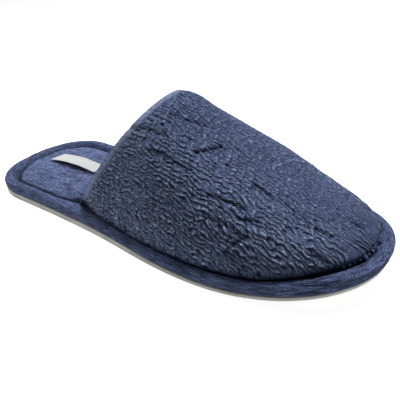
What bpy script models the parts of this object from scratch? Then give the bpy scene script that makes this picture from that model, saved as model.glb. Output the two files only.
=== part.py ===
"""Scuff slipper for the right foot, closed at the toe and open at the heel.

Toe along +X, inner (medial) side of the foot along +Y, +Z up, metres.
The origin lies on the ground under the middle of the slipper's box.

Five pieces: a thin rubber outsole, a cloth-wrapped midsole with a padded rim,
a domed insole in the rim, a padded upper sewn into the seam between the two,
and a woven label on the insole.
"""
from typing import NamedTuple

import bmesh
import bpy
import numpy as np

# Outline from above; "from heel" is measured from the very back of the rim
LENGTH = 0.290
HEEL_ROUND_LENGTH = 0.036
HEEL_HALF_WIDTH = 0.047
HEEL_POWER = 2.3
WAIST_FROM_HEEL = 0.115
WAIST_LATERAL = 0.0495
WAIST_MEDIAL = 0.0425
BALL_LATERAL_FROM_HEEL = 0.188
BALL_LATERAL = 0.056
BALL_MEDIAL_FROM_HEEL = 0.2125
BALL_MEDIAL = 0.0605
TOE_POWER_LATERAL = 2.18
TOE_POWER_MEDIAL = 2.30
TOE_TIP_SHIFT = 0.004

# Ground line
TOE_SPRING = 0.0105
SPRING_FROM_HEEL = 0.198

# Outsole
SOLE_HEEL_THICKNESS = 0.0048
SOLE_BALL_THICKNESS = 0.0030
SOLE_INSET = 0.0010
SOLE_DRAFT = 0.0006
SOLE_EDGE_ROUND = 0.0006

# Padded rim of the midsole
RIM_HEIGHT = 0.0135
RIM_WIDTH = 0.0080

# Insole
INSOLE_SHOULDER_RISE = 0.72
INSOLE_CROWN = 0.0039
INSOLE_DOME_POWER = 2.6
INSOLE_END_POWER = 10
INSOLE_EDGE_ROUND = 0.0022
INSOLE_CORNER_SHARE = 0.3
INSOLE_TAPER_LENGTH = 0.010
INSOLE_TAPER_LEAD = 0.002

# Upper
WALL = 0.0030
CROWN_HEIGHT = 0.0769
RIDGE_SHIFT = 0.0019
SIDE_BULGE = 0.0037
BULGE_RAMP_LENGTH = 0.030
COLLAR_SEAM_FROM_HEEL = 0.0950
COLLAR_SIDE_FROM_HEEL = 0.0995
COLLAR_PEAK_FROM_HEEL = 0.1568
COLLAR_LIP = 0.0011
TOE_CAP_LENGTH = 0.0675

# Label
LABEL_LENGTH = 0.048
LABEL_WIDTH = 0.013
LABEL_THICKNESS = 0.0006
LABEL_FROM_HEEL = 0.0545
LABEL_OFFSET = 0.0025
LABEL_ARCH = 0.0024

# Gap kept between touching pieces
CLEARANCE = 0.0003

# Mesh fineness
FINE_STEPS = 360
RING_STEPS = 36
ACROSS_STEPS = 8
UPPER_STEPS = 26
ARCH_STEPS = 24
LABEL_STEPS = 12
LABEL_ACROSS_STEPS = 4
MERGE_DISTANCE = 0.000002
SHARP_ANGLE_DEG = 40.0


class Side(NamedTuple):
    """One side of the outline seen from above."""

    sign: float
    waist: float
    ball_from_heel: float
    ball: float
    toe_power: float


class SoleRow(NamedTuple):
    """Outsole at one station: a share of the length, how far it has thinned from the
    heel's to the ball's thickness, and a share of SOLE_INSET."""

    at: float
    thins: float
    inset: float


class RimRow(NamedTuple):
    """Rim at one station: shares of the length, RIM_HEIGHT and RIM_WIDTH."""

    at: float
    height: float
    width: float


class RimPoint(NamedTuple):
    """Rim section from the sole up and over: shares of rim width and rise."""

    inward: float
    rise: float


class UpperRow(NamedTuple):
    """Upper at one station: shares of CROWN_HEIGHT, RIDGE_SHIFT and SIDE_BULGE.

    Roundness is the power of the arched section.
    """

    at: float
    crown: float
    roundness: float
    ridge: float
    bulge: float


class FootPoint(NamedTuple):
    """Foot of the upper, from the deck up: shares of the bulge and the rim's rise."""

    outward: float
    rise: float


class Finish(NamedTuple):
    """Plain look of one piece: linear colour and roughness."""

    colour: tuple
    roughness: float


LATERAL = Side(-1.0, WAIST_LATERAL, BALL_LATERAL_FROM_HEEL, BALL_LATERAL, TOE_POWER_LATERAL)
MEDIAL = Side(1.0, WAIST_MEDIAL, BALL_MEDIAL_FROM_HEEL, BALL_MEDIAL, TOE_POWER_MEDIAL)

SOLE_ROWS = (
    SoleRow(at=0.00, thins=0.0, inset=1.0),
    SoleRow(at=0.48, thins=0.0, inset=1.0),
    SoleRow(at=0.75, thins=1.0, inset=1.0),
    SoleRow(at=0.86, thins=1.0, inset=1.2),
    SoleRow(at=1.00, thins=1.0, inset=2.4),
)
RIM_ROWS = (
    RimRow(at=0.00, height=1.00, width=1.31),
    RimRow(at=0.08, height=1.00, width=1.13),
    RimRow(at=0.20, height=1.00, width=1.00),
    RimRow(at=0.26, height=0.99, width=1.03),
    RimRow(at=0.31, height=0.98, width=1.28),
    RimRow(at=0.345, height=0.95, width=1.38),
    RimRow(at=0.385, height=0.90, width=1.15),
    RimRow(at=0.45, height=0.80, width=1.00),
    RimRow(at=0.65, height=0.70, width=1.00),
    RimRow(at=0.80, height=0.70, width=1.00),
    RimRow(at=0.93, height=0.88, width=1.19),
    RimRow(at=1.00, height=0.82, width=1.31),
)
RIM_SECTION = (
    RimPoint(inward=0.17, rise=0.00),
    RimPoint(inward=0.05, rise=0.14),
    RimPoint(inward=0.00, rise=0.40),
    RimPoint(inward=0.03, rise=0.66),
    RimPoint(inward=0.12, rise=0.86),
    RimPoint(inward=0.30, rise=0.98),
    RimPoint(inward=0.48, rise=1.00),
    RimPoint(inward=0.68, rise=0.93),
    RimPoint(inward=0.86, rise=0.76),
    RimPoint(inward=0.97, rise=0.54),
    RimPoint(inward=1.00, rise=0.36),
)
UPPER_ROWS = (
    UpperRow(at=0.30, crown=1.00, roundness=1.78, ridge=0.0, bulge=1.0),
    UpperRow(at=0.55, crown=1.00, roundness=1.85, ridge=0.2, bulge=1.0),
    UpperRow(at=0.60, crown=0.897, roundness=1.92, ridge=0.6, bulge=1.0),
    UpperRow(at=0.70, crown=0.703, roundness=1.96, ridge=1.0, bulge=1.0),
    UpperRow(at=0.80, crown=0.518, roundness=1.96, ridge=1.0, bulge=1.0),
    UpperRow(at=0.88, crown=0.368, roundness=1.90, ridge=1.0, bulge=0.9),
    UpperRow(at=1.00, crown=0.18, roundness=1.85, ridge=1.0, bulge=0.5),
)
FOOT_SECTION = (
    FootPoint(outward=0.00, rise=0.36),
    FootPoint(outward=0.00, rise=0.54),
    FootPoint(outward=0.15, rise=0.78),
    FootPoint(outward=0.50, rise=1.00),
    FootPoint(outward=0.85, rise=1.14),
    FootPoint(outward=1.00, rise=1.34),
)
COLLAR_SWEEP = 0.06
COLLAR_SWEEP_POWER = 6
TOE_CAP_POWER = 1.68

FINISHES = {
    "outsole_rubber": Finish(colour=(0.22, 0.22, 0.20), roughness=0.60),
    "rim_cloth": Finish(colour=(0.05, 0.065, 0.11), roughness=0.90),
    "insole_cloth": Finish(colour=(0.08, 0.10, 0.17), roughness=0.90),
    "upper_cloth": Finish(colour=(0.045, 0.06, 0.11), roughness=0.95),
    "label_weave": Finish(colour=(0.60, 0.60, 0.60), roughness=0.80),
}

MIDLINE_SHIFT = (BALL_MEDIAL - BALL_LATERAL) / 2


# Curves and tables

def eased(knots, values, at):
    """Smooth curve through a short table that never overshoots its rows."""
    knots, values = np.asarray(knots, float), np.asarray(values, float)
    steps = np.diff(knots)
    slopes = np.diff(values) / steps
    tangents = np.zeros(len(knots))
    for i in range(1, len(knots) - 1):
        before, after = slopes[i - 1], slopes[i]
        if before * after > 0.0:
            mean = (before * steps[i] + after * steps[i - 1]) / (steps[i] + steps[i - 1])
            limit = 3.0 * min(abs(before), abs(after))
            tangents[i] = np.clip(mean, -limit, limit)
    at = np.clip(np.asarray(at, float), knots[0], knots[-1])
    row = np.clip(np.searchsorted(knots, at) - 1, 0, len(steps) - 1)
    t = (at - knots[row]) / steps[row]
    start, end = values[row], values[row + 1]
    leave, arrive = tangents[row] * steps[row], tangents[row + 1] * steps[row]
    return (start * (2 * t**3 - 3 * t**2 + 1) + leave * (t**3 - 2 * t**2 + t)
            + end * (3 * t**2 - 2 * t**3) + arrive * (t**3 - t**2))


def column(rows, name, from_heel):
    """One named column of a table, read at distances from the heel."""
    knots = [row.at * LENGTH for row in rows]
    return eased(knots, [getattr(row, name) for row in rows], from_heel)


def quarter(share, power):
    """Quarter of a superellipse: 1 at share 0, falling to 0 at share 1."""
    return (1.0 - np.clip(share, 0.0, 1.0) ** power) ** (1.0 / power)


def smooth_step(share):
    """Soft ramp from 0 to 1."""
    share = np.clip(share, 0.0, 1.0)
    return share * share * (3.0 - 2.0 * share)


# Outline and heights, all read at distances from the heel

def outline_y(side, from_heel):
    """Signed half width of the rim's outer line on one side."""
    heel = HEEL_HALF_WIDTH * quarter(1.0 - from_heel / HEEL_ROUND_LENGTH, HEEL_POWER)
    middle = eased([HEEL_ROUND_LENGTH, WAIST_FROM_HEEL, side.ball_from_heel],
                   [HEEL_HALF_WIDTH, side.waist, side.ball], from_heel)
    tip = side.sign * TOE_TIP_SHIFT
    reach = (from_heel - side.ball_from_heel) / (LENGTH - side.ball_from_heel)
    toe = tip + (side.ball - tip) * quarter(reach, side.toe_power)
    half = np.where(from_heel < HEEL_ROUND_LENGTH, heel,
                    np.where(from_heel < side.ball_from_heel, middle, toe))
    return side.sign * half


def edge_line(side):
    """Fine points and outward normals of the rim's outer line, heel to toe."""
    along = np.linspace(0.0, 1.0, FINE_STEPS + 1)
    from_heel = LENGTH * (1.0 - np.cos(np.pi * along)) / 2.0
    points = np.column_stack([from_heel, outline_y(side, from_heel)])
    tangent = np.gradient(points, axis=0)
    normal = side.sign * np.column_stack([-tangent[:, 1], tangent[:, 0]])
    normal[0] = (-1.0, 0.0)
    normal[-1] = (1.0, 0.0)
    return points, normal / np.linalg.norm(normal, axis=1)[:, None]


EDGES = {side: edge_line(side) for side in (LATERAL, MEDIAL)}


def inset_line(side, inset):
    """The outer line moved inward by an inset given at each fine point."""
    points, normals = EDGES[side]
    return points - normals * np.broadcast_to(inset, len(points))[:, None]


def fine_from_heel(side):
    """Distances from the heel of the fine points of one side."""
    return EDGES[side][0][:, 0]


def ground(from_heel):
    """Ground line under the sole: flat, then curving up at the toe."""
    reach = (from_heel - SPRING_FROM_HEEL) / (LENGTH - SPRING_FROM_HEEL)
    return TOE_SPRING * np.clip(reach, 0.0, 1.0) ** 2


def sole_top(from_heel):
    """Upper face of the outsole."""
    thins = column(SOLE_ROWS, "thins", from_heel)
    thickness = SOLE_HEEL_THICKNESS + (SOLE_BALL_THICKNESS - SOLE_HEEL_THICKNESS) * thins
    return ground(from_heel) + thickness


def sole_inset(from_heel):
    """Distance of the outsole's lower edge in from the rim's outer line."""
    return SOLE_INSET * column(SOLE_ROWS, "inset", from_heel)


def rim_height(from_heel, rise):
    """Height at a share of the rim's rise, 0 at its foot and 1 at its crest."""
    foot = sole_top(from_heel) + CLEARANCE
    crest = ground(from_heel) + RIM_HEIGHT * column(RIM_ROWS, "height", from_heel)
    return foot + (crest - foot) * rise


def rim_width(from_heel):
    """Distance from the outer line in to the seam."""
    return RIM_WIDTH * column(RIM_ROWS, "width", from_heel)


# Rings: lateral side from heel to toe, then the medial side back

def ring(inset, height):
    """Closed ring of points; inset and height are functions of the distance from the heel."""
    pick = np.linspace(0, FINE_STEPS, RING_STEPS + 1).astype(int)
    sides = []
    for side in (LATERAL, MEDIAL):
        line = inset_line(side, inset(fine_from_heel(side)))[pick]
        sides.append(np.column_stack([line, height(line[:, 0])]))
    return np.concatenate([sides[0], sides[1][-2:0:-1]])


def placed(point):
    """Point of the construction, moved to the slipper's own frame."""
    return (point[0] - LENGTH / 2, point[1] - MIDLINE_SHIFT, point[2])


class Skin:
    """Gathers faces of one closed solid and turns them into an object."""

    def __init__(self):
        self.mesh = bmesh.new()

    def points(self, rows):
        """Vertices for an array of points of any shape, as a nested list."""
        rows = np.asarray(rows)
        if rows.ndim == 1:
            return self.mesh.verts.new(placed(rows))
        return [self.points(row) for row in rows]

    def face(self, corners):
        """A face, its repeated corners dropped."""
        kept = []
        for corner in corners:
            if all((corner.co - other.co).length > MERGE_DISTANCE for other in kept):
                kept.append(corner)
        if len(kept) > 2:
            self.mesh.faces.new(kept)

    def between(self, first, second, closed=False):
        """Faces between two rows of equal length."""
        count = len(first)
        for i in range(count if closed else count - 1):
            j = (i + 1) % count
            self.face([first[i], first[j], second[j], second[i]])

    def cap(self, row, across=None):
        """Close a ring with rungs from side to side, with points across them if given."""
        last = RING_STEPS
        lateral = row[:last + 1]
        medial = [row[0]] + row[:last:-1] + [row[last]]
        rungs = [[lateral[i], medial[i]] for i in range(last + 1)]
        if across is not None:
            rungs = [[lateral[i], *across[i], medial[i]] for i in range(last + 1)]
        for i in range(last):
            self.between(rungs[i], rungs[i + 1])

    def finish(self, name, material, collection):
        """Weld, check the facing and link the object."""
        bmesh.ops.remove_doubles(self.mesh, verts=self.mesh.verts, dist=MERGE_DISTANCE)
        bmesh.ops.recalc_face_normals(self.mesh, faces=self.mesh.faces)
        if self.mesh.calc_volume(signed=True) < 0.0:
            bmesh.ops.reverse_faces(self.mesh, faces=self.mesh.faces)
        data = bpy.data.meshes.new(name)
        self.mesh.to_mesh(data)
        self.mesh.free()
        data.materials.append(material)
        data.shade_smooth()
        data.set_sharp_from_angle(angle=np.radians(SHARP_ANGLE_DEG))
        made = bpy.data.objects.new(name, data)
        collection.objects.link(made)
        return made


# Pieces

def make_outsole(material, collection):
    """Thin rubber sole with drafted sides and a rounded lower edge."""
    levels = (
        (lambda x: sole_inset(x) + SOLE_EDGE_ROUND, ground),
        (sole_inset, lambda x: ground(x) + SOLE_EDGE_ROUND),
        (lambda x: sole_inset(x) - SOLE_DRAFT, sole_top),
    )
    skin = Skin()
    rows = [skin.points(ring(inset, height)) for inset, height in levels]
    for lower, upper in zip(rows, rows[1:]):
        skin.between(lower, upper, closed=True)
    skin.cap(rows[0])
    skin.cap(rows[-1])
    return skin.finish("outsole", material, collection)


def make_midsole(material, collection):
    """Cloth-wrapped foam platform: a padded rim around a sunken deck."""
    skin = Skin()
    rows = []
    for point in RIM_SECTION:
        rows.append(skin.points(ring(
            lambda x, p=point: rim_width(x) * p.inward,
            lambda x, p=point: rim_height(x, p.rise))))
    for lower, upper in zip(rows, rows[1:]):
        skin.between(lower, upper, closed=True)
    skin.cap(rows[0])
    skin.cap(rows[-1])
    return skin.finish("midsole", material, collection)


def insole_inset(from_heel):
    """Edge of the insole: beside the rim at the heel, inside the upper in front."""
    start = COLLAR_SEAM_FROM_HEEL - INSOLE_TAPER_LEAD - INSOLE_TAPER_LENGTH
    taper = smooth_step((from_heel - start) / INSOLE_TAPER_LENGTH)
    behind_upper = (WALL + 2 * CLEARANCE) * taper
    return rim_width(from_heel) + CLEARANCE + behind_upper


def insole_bottom(from_heel):
    """Underside of the insole, on the deck."""
    return rim_height(from_heel, RIM_SECTION[-1].rise) + CLEARANCE


def insole_shoulder(from_heel):
    """Height of the insole's top face at its edge."""
    return rim_height(from_heel, INSOLE_SHOULDER_RISE)


def insole_height(from_heel, across):
    """Domed top of the insole; across runs from -1 lateral to 1 medial."""
    share = np.clip(from_heel / LENGTH, 0.0, 1.0)
    ends = 1.0 - np.abs(2.0 * share - 1.0) ** INSOLE_END_POWER
    dome = (1.0 - np.abs(across) ** INSOLE_DOME_POWER) * ends
    return insole_shoulder(from_heel) + INSOLE_CROWN * dome


def insole_sides():
    """Top edge of the insole on both sides, at the ring's stations."""
    edge = ring(lambda x: insole_inset(x) + INSOLE_EDGE_ROUND, insole_shoulder)
    lateral = edge[:RING_STEPS + 1]
    medial = np.concatenate([edge[:1], edge[:RING_STEPS:-1], edge[RING_STEPS:RING_STEPS + 1]])
    return lateral, medial


def make_insole(material, collection):
    """Domed foam pad in the rim."""
    corner = INSOLE_EDGE_ROUND * INSOLE_CORNER_SHARE
    levels = (
        (lambda x: insole_inset(x) + corner, insole_bottom),
        (insole_inset, lambda x: insole_bottom(x) + corner),
        (insole_inset, lambda x: insole_shoulder(x) - INSOLE_EDGE_ROUND),
        (lambda x: insole_inset(x) + corner, lambda x: insole_shoulder(x) - corner),
        (lambda x: insole_inset(x) + INSOLE_EDGE_ROUND, insole_shoulder),
    )
    skin = Skin()
    rows = [skin.points(ring(inset, height)) for inset, height in levels]
    for lower, upper in zip(rows, rows[1:]):
        skin.between(lower, upper, closed=True)
    skin.cap(rows[0])
    lateral, medial = insole_sides()
    shares = np.sin(np.linspace(-1.0, 1.0, ACROSS_STEPS + 1)[1:-1] * np.pi / 2)
    across = []
    for start, end in zip(lateral, medial):
        rung = start + (end - start) * (shares[:, None] + 1.0) / 2.0
        rung[:, 2] = insole_height(rung[:, 0], shares)
        across.append(rung)
    skin.cap(rows[-1], skin.points(across))
    return skin.finish("insole", material, collection)


def upper_side(side, foot, inner):
    """Line of one foot row of the upper, as points seen from above."""
    from_heel = fine_from_heel(side)
    ramp = smooth_step((from_heel - COLLAR_SEAM_FROM_HEEL) / BULGE_RAMP_LENGTH)
    bulge = SIDE_BULGE * ramp * column(UPPER_ROWS, "bulge", from_heel)
    return inset_line(side, rim_width(from_heel) + CLEARANCE - bulge * foot.outward + inner)


def upper_tip(foot, inner):
    """Distance from the heel of a foot row's foremost point."""
    return upper_side(LATERAL, foot, inner)[-1, 0]


def collar_from_heel(angle):
    """Collar line over the arch: from the side of the foot up to the peak."""
    rise = np.sin(angle)
    share = (1.0 - COLLAR_SWEEP) * rise + COLLAR_SWEEP * rise**COLLAR_SWEEP_POWER
    return COLLAR_SIDE_FROM_HEEL + (COLLAR_PEAK_FROM_HEEL - COLLAR_SIDE_FROM_HEEL) * share


def station_shares():
    """Shares of the way from collar to toe tip, closer together at the toe."""
    along = np.linspace(0.0, 1.0, UPPER_STEPS + 1)
    return np.sin(np.pi / 2 * along)


def foot_rows(side, inner):
    """Rows of the upper in the seam and over the rim, from the deck up."""
    top = FOOT_SECTION[-1].rise
    rows = []
    for foot in FOOT_SECTION[:-1]:
        lift = (foot.rise - FOOT_SECTION[0].rise) / (top - FOOT_SECTION[0].rise)
        start = COLLAR_SEAM_FROM_HEEL + (COLLAR_SIDE_FROM_HEEL - COLLAR_SEAM_FROM_HEEL) * lift
        along = start + (upper_tip(foot, inner) - start) * station_shares()
        line = upper_side(side, foot, inner)
        y = np.interp(along, line[:, 0], line[:, 1])
        lifted = CLEARANCE if foot is FOOT_SECTION[0] else 0.0
        rows.append(np.column_stack([along, y, rim_height(along, foot.rise) + lifted]))
    return rows


def arch_row(angle, inner):
    """One row of the arched vamp at an angle from 0 lateral to pi medial."""
    foot = FOOT_SECTION[-1]
    tip = upper_tip(foot, inner)
    start = collar_from_heel(angle)
    along = start + (tip - start) * station_shares()
    sides = [upper_side(side, foot, inner) for side in (LATERAL, MEDIAL)]
    lateral, medial = [np.interp(along, line[:, 0], line[:, 1]) for line in sides]
    cap = quarter((along - (tip - TOE_CAP_LENGTH)) / TOE_CAP_LENGTH, TOE_CAP_POWER)
    crown = (CROWN_HEIGHT * column(UPPER_ROWS, "crown", along) - inner) * cap
    power = 2.0 / column(UPPER_ROWS, "roundness", along)
    ridge = RIDGE_SHIFT * column(UPPER_ROWS, "ridge", along) * cap
    middle = (lateral + medial) / 2 + ridge
    reach = lateral if np.cos(angle) >= 0.0 else medial
    y = middle + (reach - middle) * abs(np.cos(angle)) ** power
    z = rim_height(along, foot.rise) + crown * np.sin(angle) ** power
    return np.column_stack([along, y, z])


def upper_surface(inner):
    """Grid of the upper from the lateral deck over the crown to the medial deck."""
    angles = np.linspace(0.0, np.pi, ARCH_STEPS + 1)
    arch = [arch_row(angle, inner) for angle in angles]
    return np.array(foot_rows(LATERAL, inner) + arch + foot_rows(MEDIAL, inner)[::-1])


def make_upper(material, collection):
    """Hollow padded vamp, open at the collar and underneath."""
    outer, inner = upper_surface(0.0), upper_surface(WALL)
    edge = (outer[:, 0] + inner[:, 0]) / 2
    back = outer[:, 0] - outer[:, 1]
    edge = edge + COLLAR_LIP * back / np.linalg.norm(back, axis=1)[:, None]
    skin = Skin()
    outside, inside, lip = skin.points(outer), skin.points(inner), skin.points(edge)
    for grid in (outside, inside):
        for first, second in zip(grid, grid[1:]):
            skin.between(first, second)
    skin.between(outside[0], inside[0])
    skin.between(outside[-1], inside[-1])
    skin.between([row[0] for row in outside], lip)
    skin.between(lip, [row[0] for row in inside])
    skin.face([outside[0][0], lip[0], inside[0][0]])
    skin.face([outside[-1][0], lip[-1], inside[-1][0]])
    return skin.finish("upper", material, collection)


def make_label(material, collection):
    """Small woven strip along the insole, standing up a little at its middle."""
    along = np.linspace(-1.0, 1.0, LABEL_STEPS + 1)
    grids = []
    for lift in (CLEARANCE, CLEARANCE + LABEL_THICKNESS):
        grid = []
        for edge in np.linspace(-1.0, 1.0, LABEL_ACROSS_STEPS + 1):
            from_heel = LABEL_FROM_HEEL + along * LABEL_LENGTH / 2
            offset = MIDLINE_SHIFT - LABEL_OFFSET + edge * LABEL_WIDTH / 2
            y = np.full_like(along, offset)
            half = (outline_y(MEDIAL, from_heel) - outline_y(LATERAL, from_heel)) / 2
            middle = (outline_y(MEDIAL, from_heel) + outline_y(LATERAL, from_heel)) / 2
            across = (y - middle) / (half - insole_inset(from_heel) - INSOLE_EDGE_ROUND)
            z = insole_height(from_heel, across) + LABEL_ARCH * (1.0 - along**2) + lift
            grid.append(np.column_stack([from_heel, y, z]))
        grids.append(grid)
    skin = Skin()
    lower, upper = [skin.points(grid) for grid in grids]
    for grid in (lower, upper):
        for first, second in zip(grid, grid[1:]):
            skin.between(first, second)
    skin.between(lower[0], upper[0])
    skin.between(lower[-1], upper[-1])
    for end in (0, -1):
        skin.between([row[end] for row in lower], [row[end] for row in upper])
    return skin.finish("label", material, collection)


# Materials and scene

def plain_material(name):
    """Principled material of one colour, by its row in FINISHES."""
    finish = FINISHES[name]
    material = bpy.data.materials.new(name)
    material.use_nodes = True
    shader = material.node_tree.nodes["Principled BSDF"]
    shader.inputs["Base Color"].default_value = (*finish.colour, 1.0)
    shader.inputs["Roughness"].default_value = finish.roughness
    shader.inputs["Metallic"].default_value = 0.0
    return material


def main():
    """Empty the scene and build the slipper."""
    for old in list(bpy.data.objects):
        bpy.data.objects.remove(old, do_unlink=True)
    collection = bpy.data.collections.new("scuff_slipper")
    bpy.context.scene.collection.children.link(collection)
    make_outsole(plain_material("outsole_rubber"), collection)
    make_midsole(plain_material("rim_cloth"), collection)
    make_insole(plain_material("insole_cloth"), collection)
    make_upper(plain_material("upper_cloth"), collection)
    make_label(plain_material("label_weave"), collection)


main()
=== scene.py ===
"""Looks of the right-foot scuff slipper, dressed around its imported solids.

Toe along +X, inner (medial) side of the foot along +Y, +Z up, metres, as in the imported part.
Lengths named from_heel are measured from the very back of the rim.
"""
import logging
import math
from collections.abc import Callable, Sequence
from dataclasses import dataclass
from enum import Enum
from typing import NamedTuple

import bmesh
import bpy
import numpy as np
from bpy.types import Material, Mesh, Node, NodeSocket, Object
from mathutils import Matrix, Vector
from mathutils.bvhtree import BVHTree
from mathutils.kdtree import KDTree


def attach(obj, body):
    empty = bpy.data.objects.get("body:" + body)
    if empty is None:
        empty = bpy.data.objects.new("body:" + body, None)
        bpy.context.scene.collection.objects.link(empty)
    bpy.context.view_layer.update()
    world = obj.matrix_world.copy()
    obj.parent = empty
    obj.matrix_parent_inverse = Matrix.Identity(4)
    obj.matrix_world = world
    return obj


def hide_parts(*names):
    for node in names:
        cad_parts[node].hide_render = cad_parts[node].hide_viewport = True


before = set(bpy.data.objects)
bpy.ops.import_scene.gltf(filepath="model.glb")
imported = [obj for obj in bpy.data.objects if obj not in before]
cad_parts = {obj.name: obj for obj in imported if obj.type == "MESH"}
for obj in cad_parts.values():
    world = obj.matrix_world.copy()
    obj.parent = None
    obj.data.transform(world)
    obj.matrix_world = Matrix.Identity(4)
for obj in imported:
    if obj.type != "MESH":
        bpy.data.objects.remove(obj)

Array = np.ndarray
Colour = tuple[float, float, float]
Span = tuple[float, float]
Curve = Callable[[Array], Array]

MM = 0.001
TINY = 1e-12
MERGE_DISTANCE = 0.000002
CURVE_STEPS = 24

log = logging.getLogger("scuff_slipper")


# Curves, tables and noise

def eased(knots: Sequence[float], values: Sequence[float], at: Array) -> Array:
    """Reads a smooth curve through a short table that never overshoots its rows.

    Args:
        knots: Places of the rows, rising.
        values: The column's values at those places.
        at: Places to read.

    Returns:
        The curve's value at each place.
    """
    knots, values = np.asarray(knots, float), np.asarray(values, float)
    steps = np.diff(knots)
    slopes = np.diff(values) / steps
    tangents = np.zeros(len(knots))
    for i in range(1, len(knots) - 1):
        before, after = slopes[i - 1], slopes[i]
        if before * after > 0.0:
            mean = (before * steps[i] + after * steps[i - 1]) / (steps[i] + steps[i - 1])
            limit = 3.0 * min(abs(before), abs(after))
            tangents[i] = np.clip(mean, -limit, limit)
    at = np.clip(np.asarray(at, float), knots[0], knots[-1])
    row = np.clip(np.searchsorted(knots, at) - 1, 0, len(steps) - 1)
    t = (at - knots[row]) / steps[row]
    start, end = values[row], values[row + 1]
    leave, arrive = tangents[row] * steps[row], tangents[row + 1] * steps[row]
    return (start * (2 * t**3 - 3 * t**2 + 1) + leave * (t**3 - 2 * t**2 + t)
            + end * (3 * t**2 - 2 * t**3) + arrive * (t**3 - t**2))


def column(rows: Sequence[NamedTuple], name: str, at: Array) -> Array:
    """Reads one named column of a table whose rows have a place named at."""
    return eased([row.at for row in rows], [getattr(row, name) for row in rows], at)


def quarter(share: Array, power: float) -> Array:
    """Quarter of a superellipse: 1 at share 0, falling to 0 at share 1."""
    return (1.0 - np.clip(share, 0.0, 1.0) ** power) ** (1.0 / power)


def ramp(value: Array, low: float, high: float) -> Array:
    """Soft step from 0 at low to 1 at high."""
    share = np.clip((value - low) / (high - low), 0.0, 1.0)
    return share * share * (3.0 - 2.0 * share)


def through(points: Sequence[Sequence[float]], count: int) -> Array:
    """Draws a smooth line through a few points.

    Args:
        points: The points that the line goes through.
        count: How many points the line gets, evenly spaced along it.

    Returns:
        The line's points, one a row.
    """
    points = np.asarray(points, float)
    ends = np.vstack([2 * points[0] - points[1], points, 2 * points[-1] - points[-2]])
    t = np.linspace(0.0, 1.0, CURVE_STEPS, endpoint=False)[:, None]
    pieces = []
    for a, b, c, d in zip(ends, ends[1:], ends[2:], ends[3:]):
        pieces.append(0.5 * (2 * b + (c - a) * t + (2 * a - 5 * b + 4 * c - d) * t**2
                             + (3 * b - 3 * c + d - a) * t**3))
    fine = np.vstack([*pieces, points[-1:]])
    run = travelled(fine)
    even = np.linspace(0.0, run[-1], count)
    return np.column_stack([np.interp(even, run, fine[:, k]) for k in range(fine.shape[1])])


def travelled(line: Array, axis: int = 0) -> Array:
    """Distance gone along a line, or along each line of a grid, from its first point."""
    steps = np.linalg.norm(np.diff(line, axis=axis), axis=-1)
    run = np.cumsum(steps, axis=axis)
    return np.concatenate([np.zeros_like(np.take(run, [0], axis=axis)), run], axis=axis)


def evened(lines: Array, at: Array, count: int) -> Array:
    """Finds parameters that are evenly spaced along a bundle of lines.

    Args:
        lines: The lines' points, one line a row.
        at: The parameter of each point, the same for every line.
        count: How many steps are wanted.

    Returns:
        One parameter more than there are steps.
    """
    run = travelled(lines, axis=1).mean(axis=0)
    return np.interp(np.linspace(0.0, run[-1], count + 1), run, at)


class Crumple:
    """Smooth noise over a plane, from about -1 to 1, the same at each run."""

    CELLS = 256
    GAIN = 1.5

    def __init__(self, seed: int) -> None:
        """Draws the slopes of the cells from a fixed seed."""
        angles = np.random.default_rng(seed).uniform(0.0, 2.0 * np.pi, (self.CELLS, self.CELLS))
        self.slopes = np.stack([np.cos(angles), np.sin(angles)], axis=-1)

    def at(self, u: Array, v: Array) -> Array:
        """Reads the noise at points given in cells along and across."""
        u, v = np.broadcast_arrays(u, v)
        cell_u, cell_v = np.floor(u).astype(int), np.floor(v).astype(int)
        part_u, part_v = u - cell_u, v - cell_v
        ease_u = part_u**3 * (part_u * (6 * part_u - 15) + 10)
        ease_v = part_v**3 * (part_v * (6 * part_v - 15) + 10)
        total = np.zeros(u.shape)
        for du in (0, 1):
            for dv in (0, 1):
                slope = self.slopes[(cell_u + du) % self.CELLS, (cell_v + dv) % self.CELLS]
                value = slope[..., 0] * (part_u - du) + slope[..., 1] * (part_v - dv)
                share_u = ease_u if du else 1.0 - ease_u
                share_v = ease_v if dv else 1.0 - ease_v
                total += share_u * share_v * value
        return self.GAIN * total


def fold(value: Array, width: float) -> Array:
    """1 where the value is zero, falling to 0 within about a width of it."""
    return np.exp(-(value / width) ** 2)


class Wrinkles(NamedTuple):
    """Soft wrinkles along a padded cloth, in patches; lengths in mm."""

    seed: int
    length: float
    width: float
    sway: float
    sway_size: Span
    patch_size: Span
    patch_shift: float
    patch_edge: Span
    fold_width: float

    def at(self, u: Array, v: Array) -> tuple[Array, Array]:
        """Height of the wrinkles from -1 to 1, and how deep in a fold each point lies."""
        drift = Crumple(self.seed + 1)
        sway = self.sway * drift.at(u / self.sway_size[0], v / self.sway_size[1])
        height = Crumple(self.seed).at(u / self.length, (v + sway) / self.width)
        patch = drift.at(u / self.patch_size[0] + self.patch_shift, v / self.patch_size[1])
        return height, fold(height, self.fold_width) * ramp(patch, *self.patch_edge)


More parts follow.
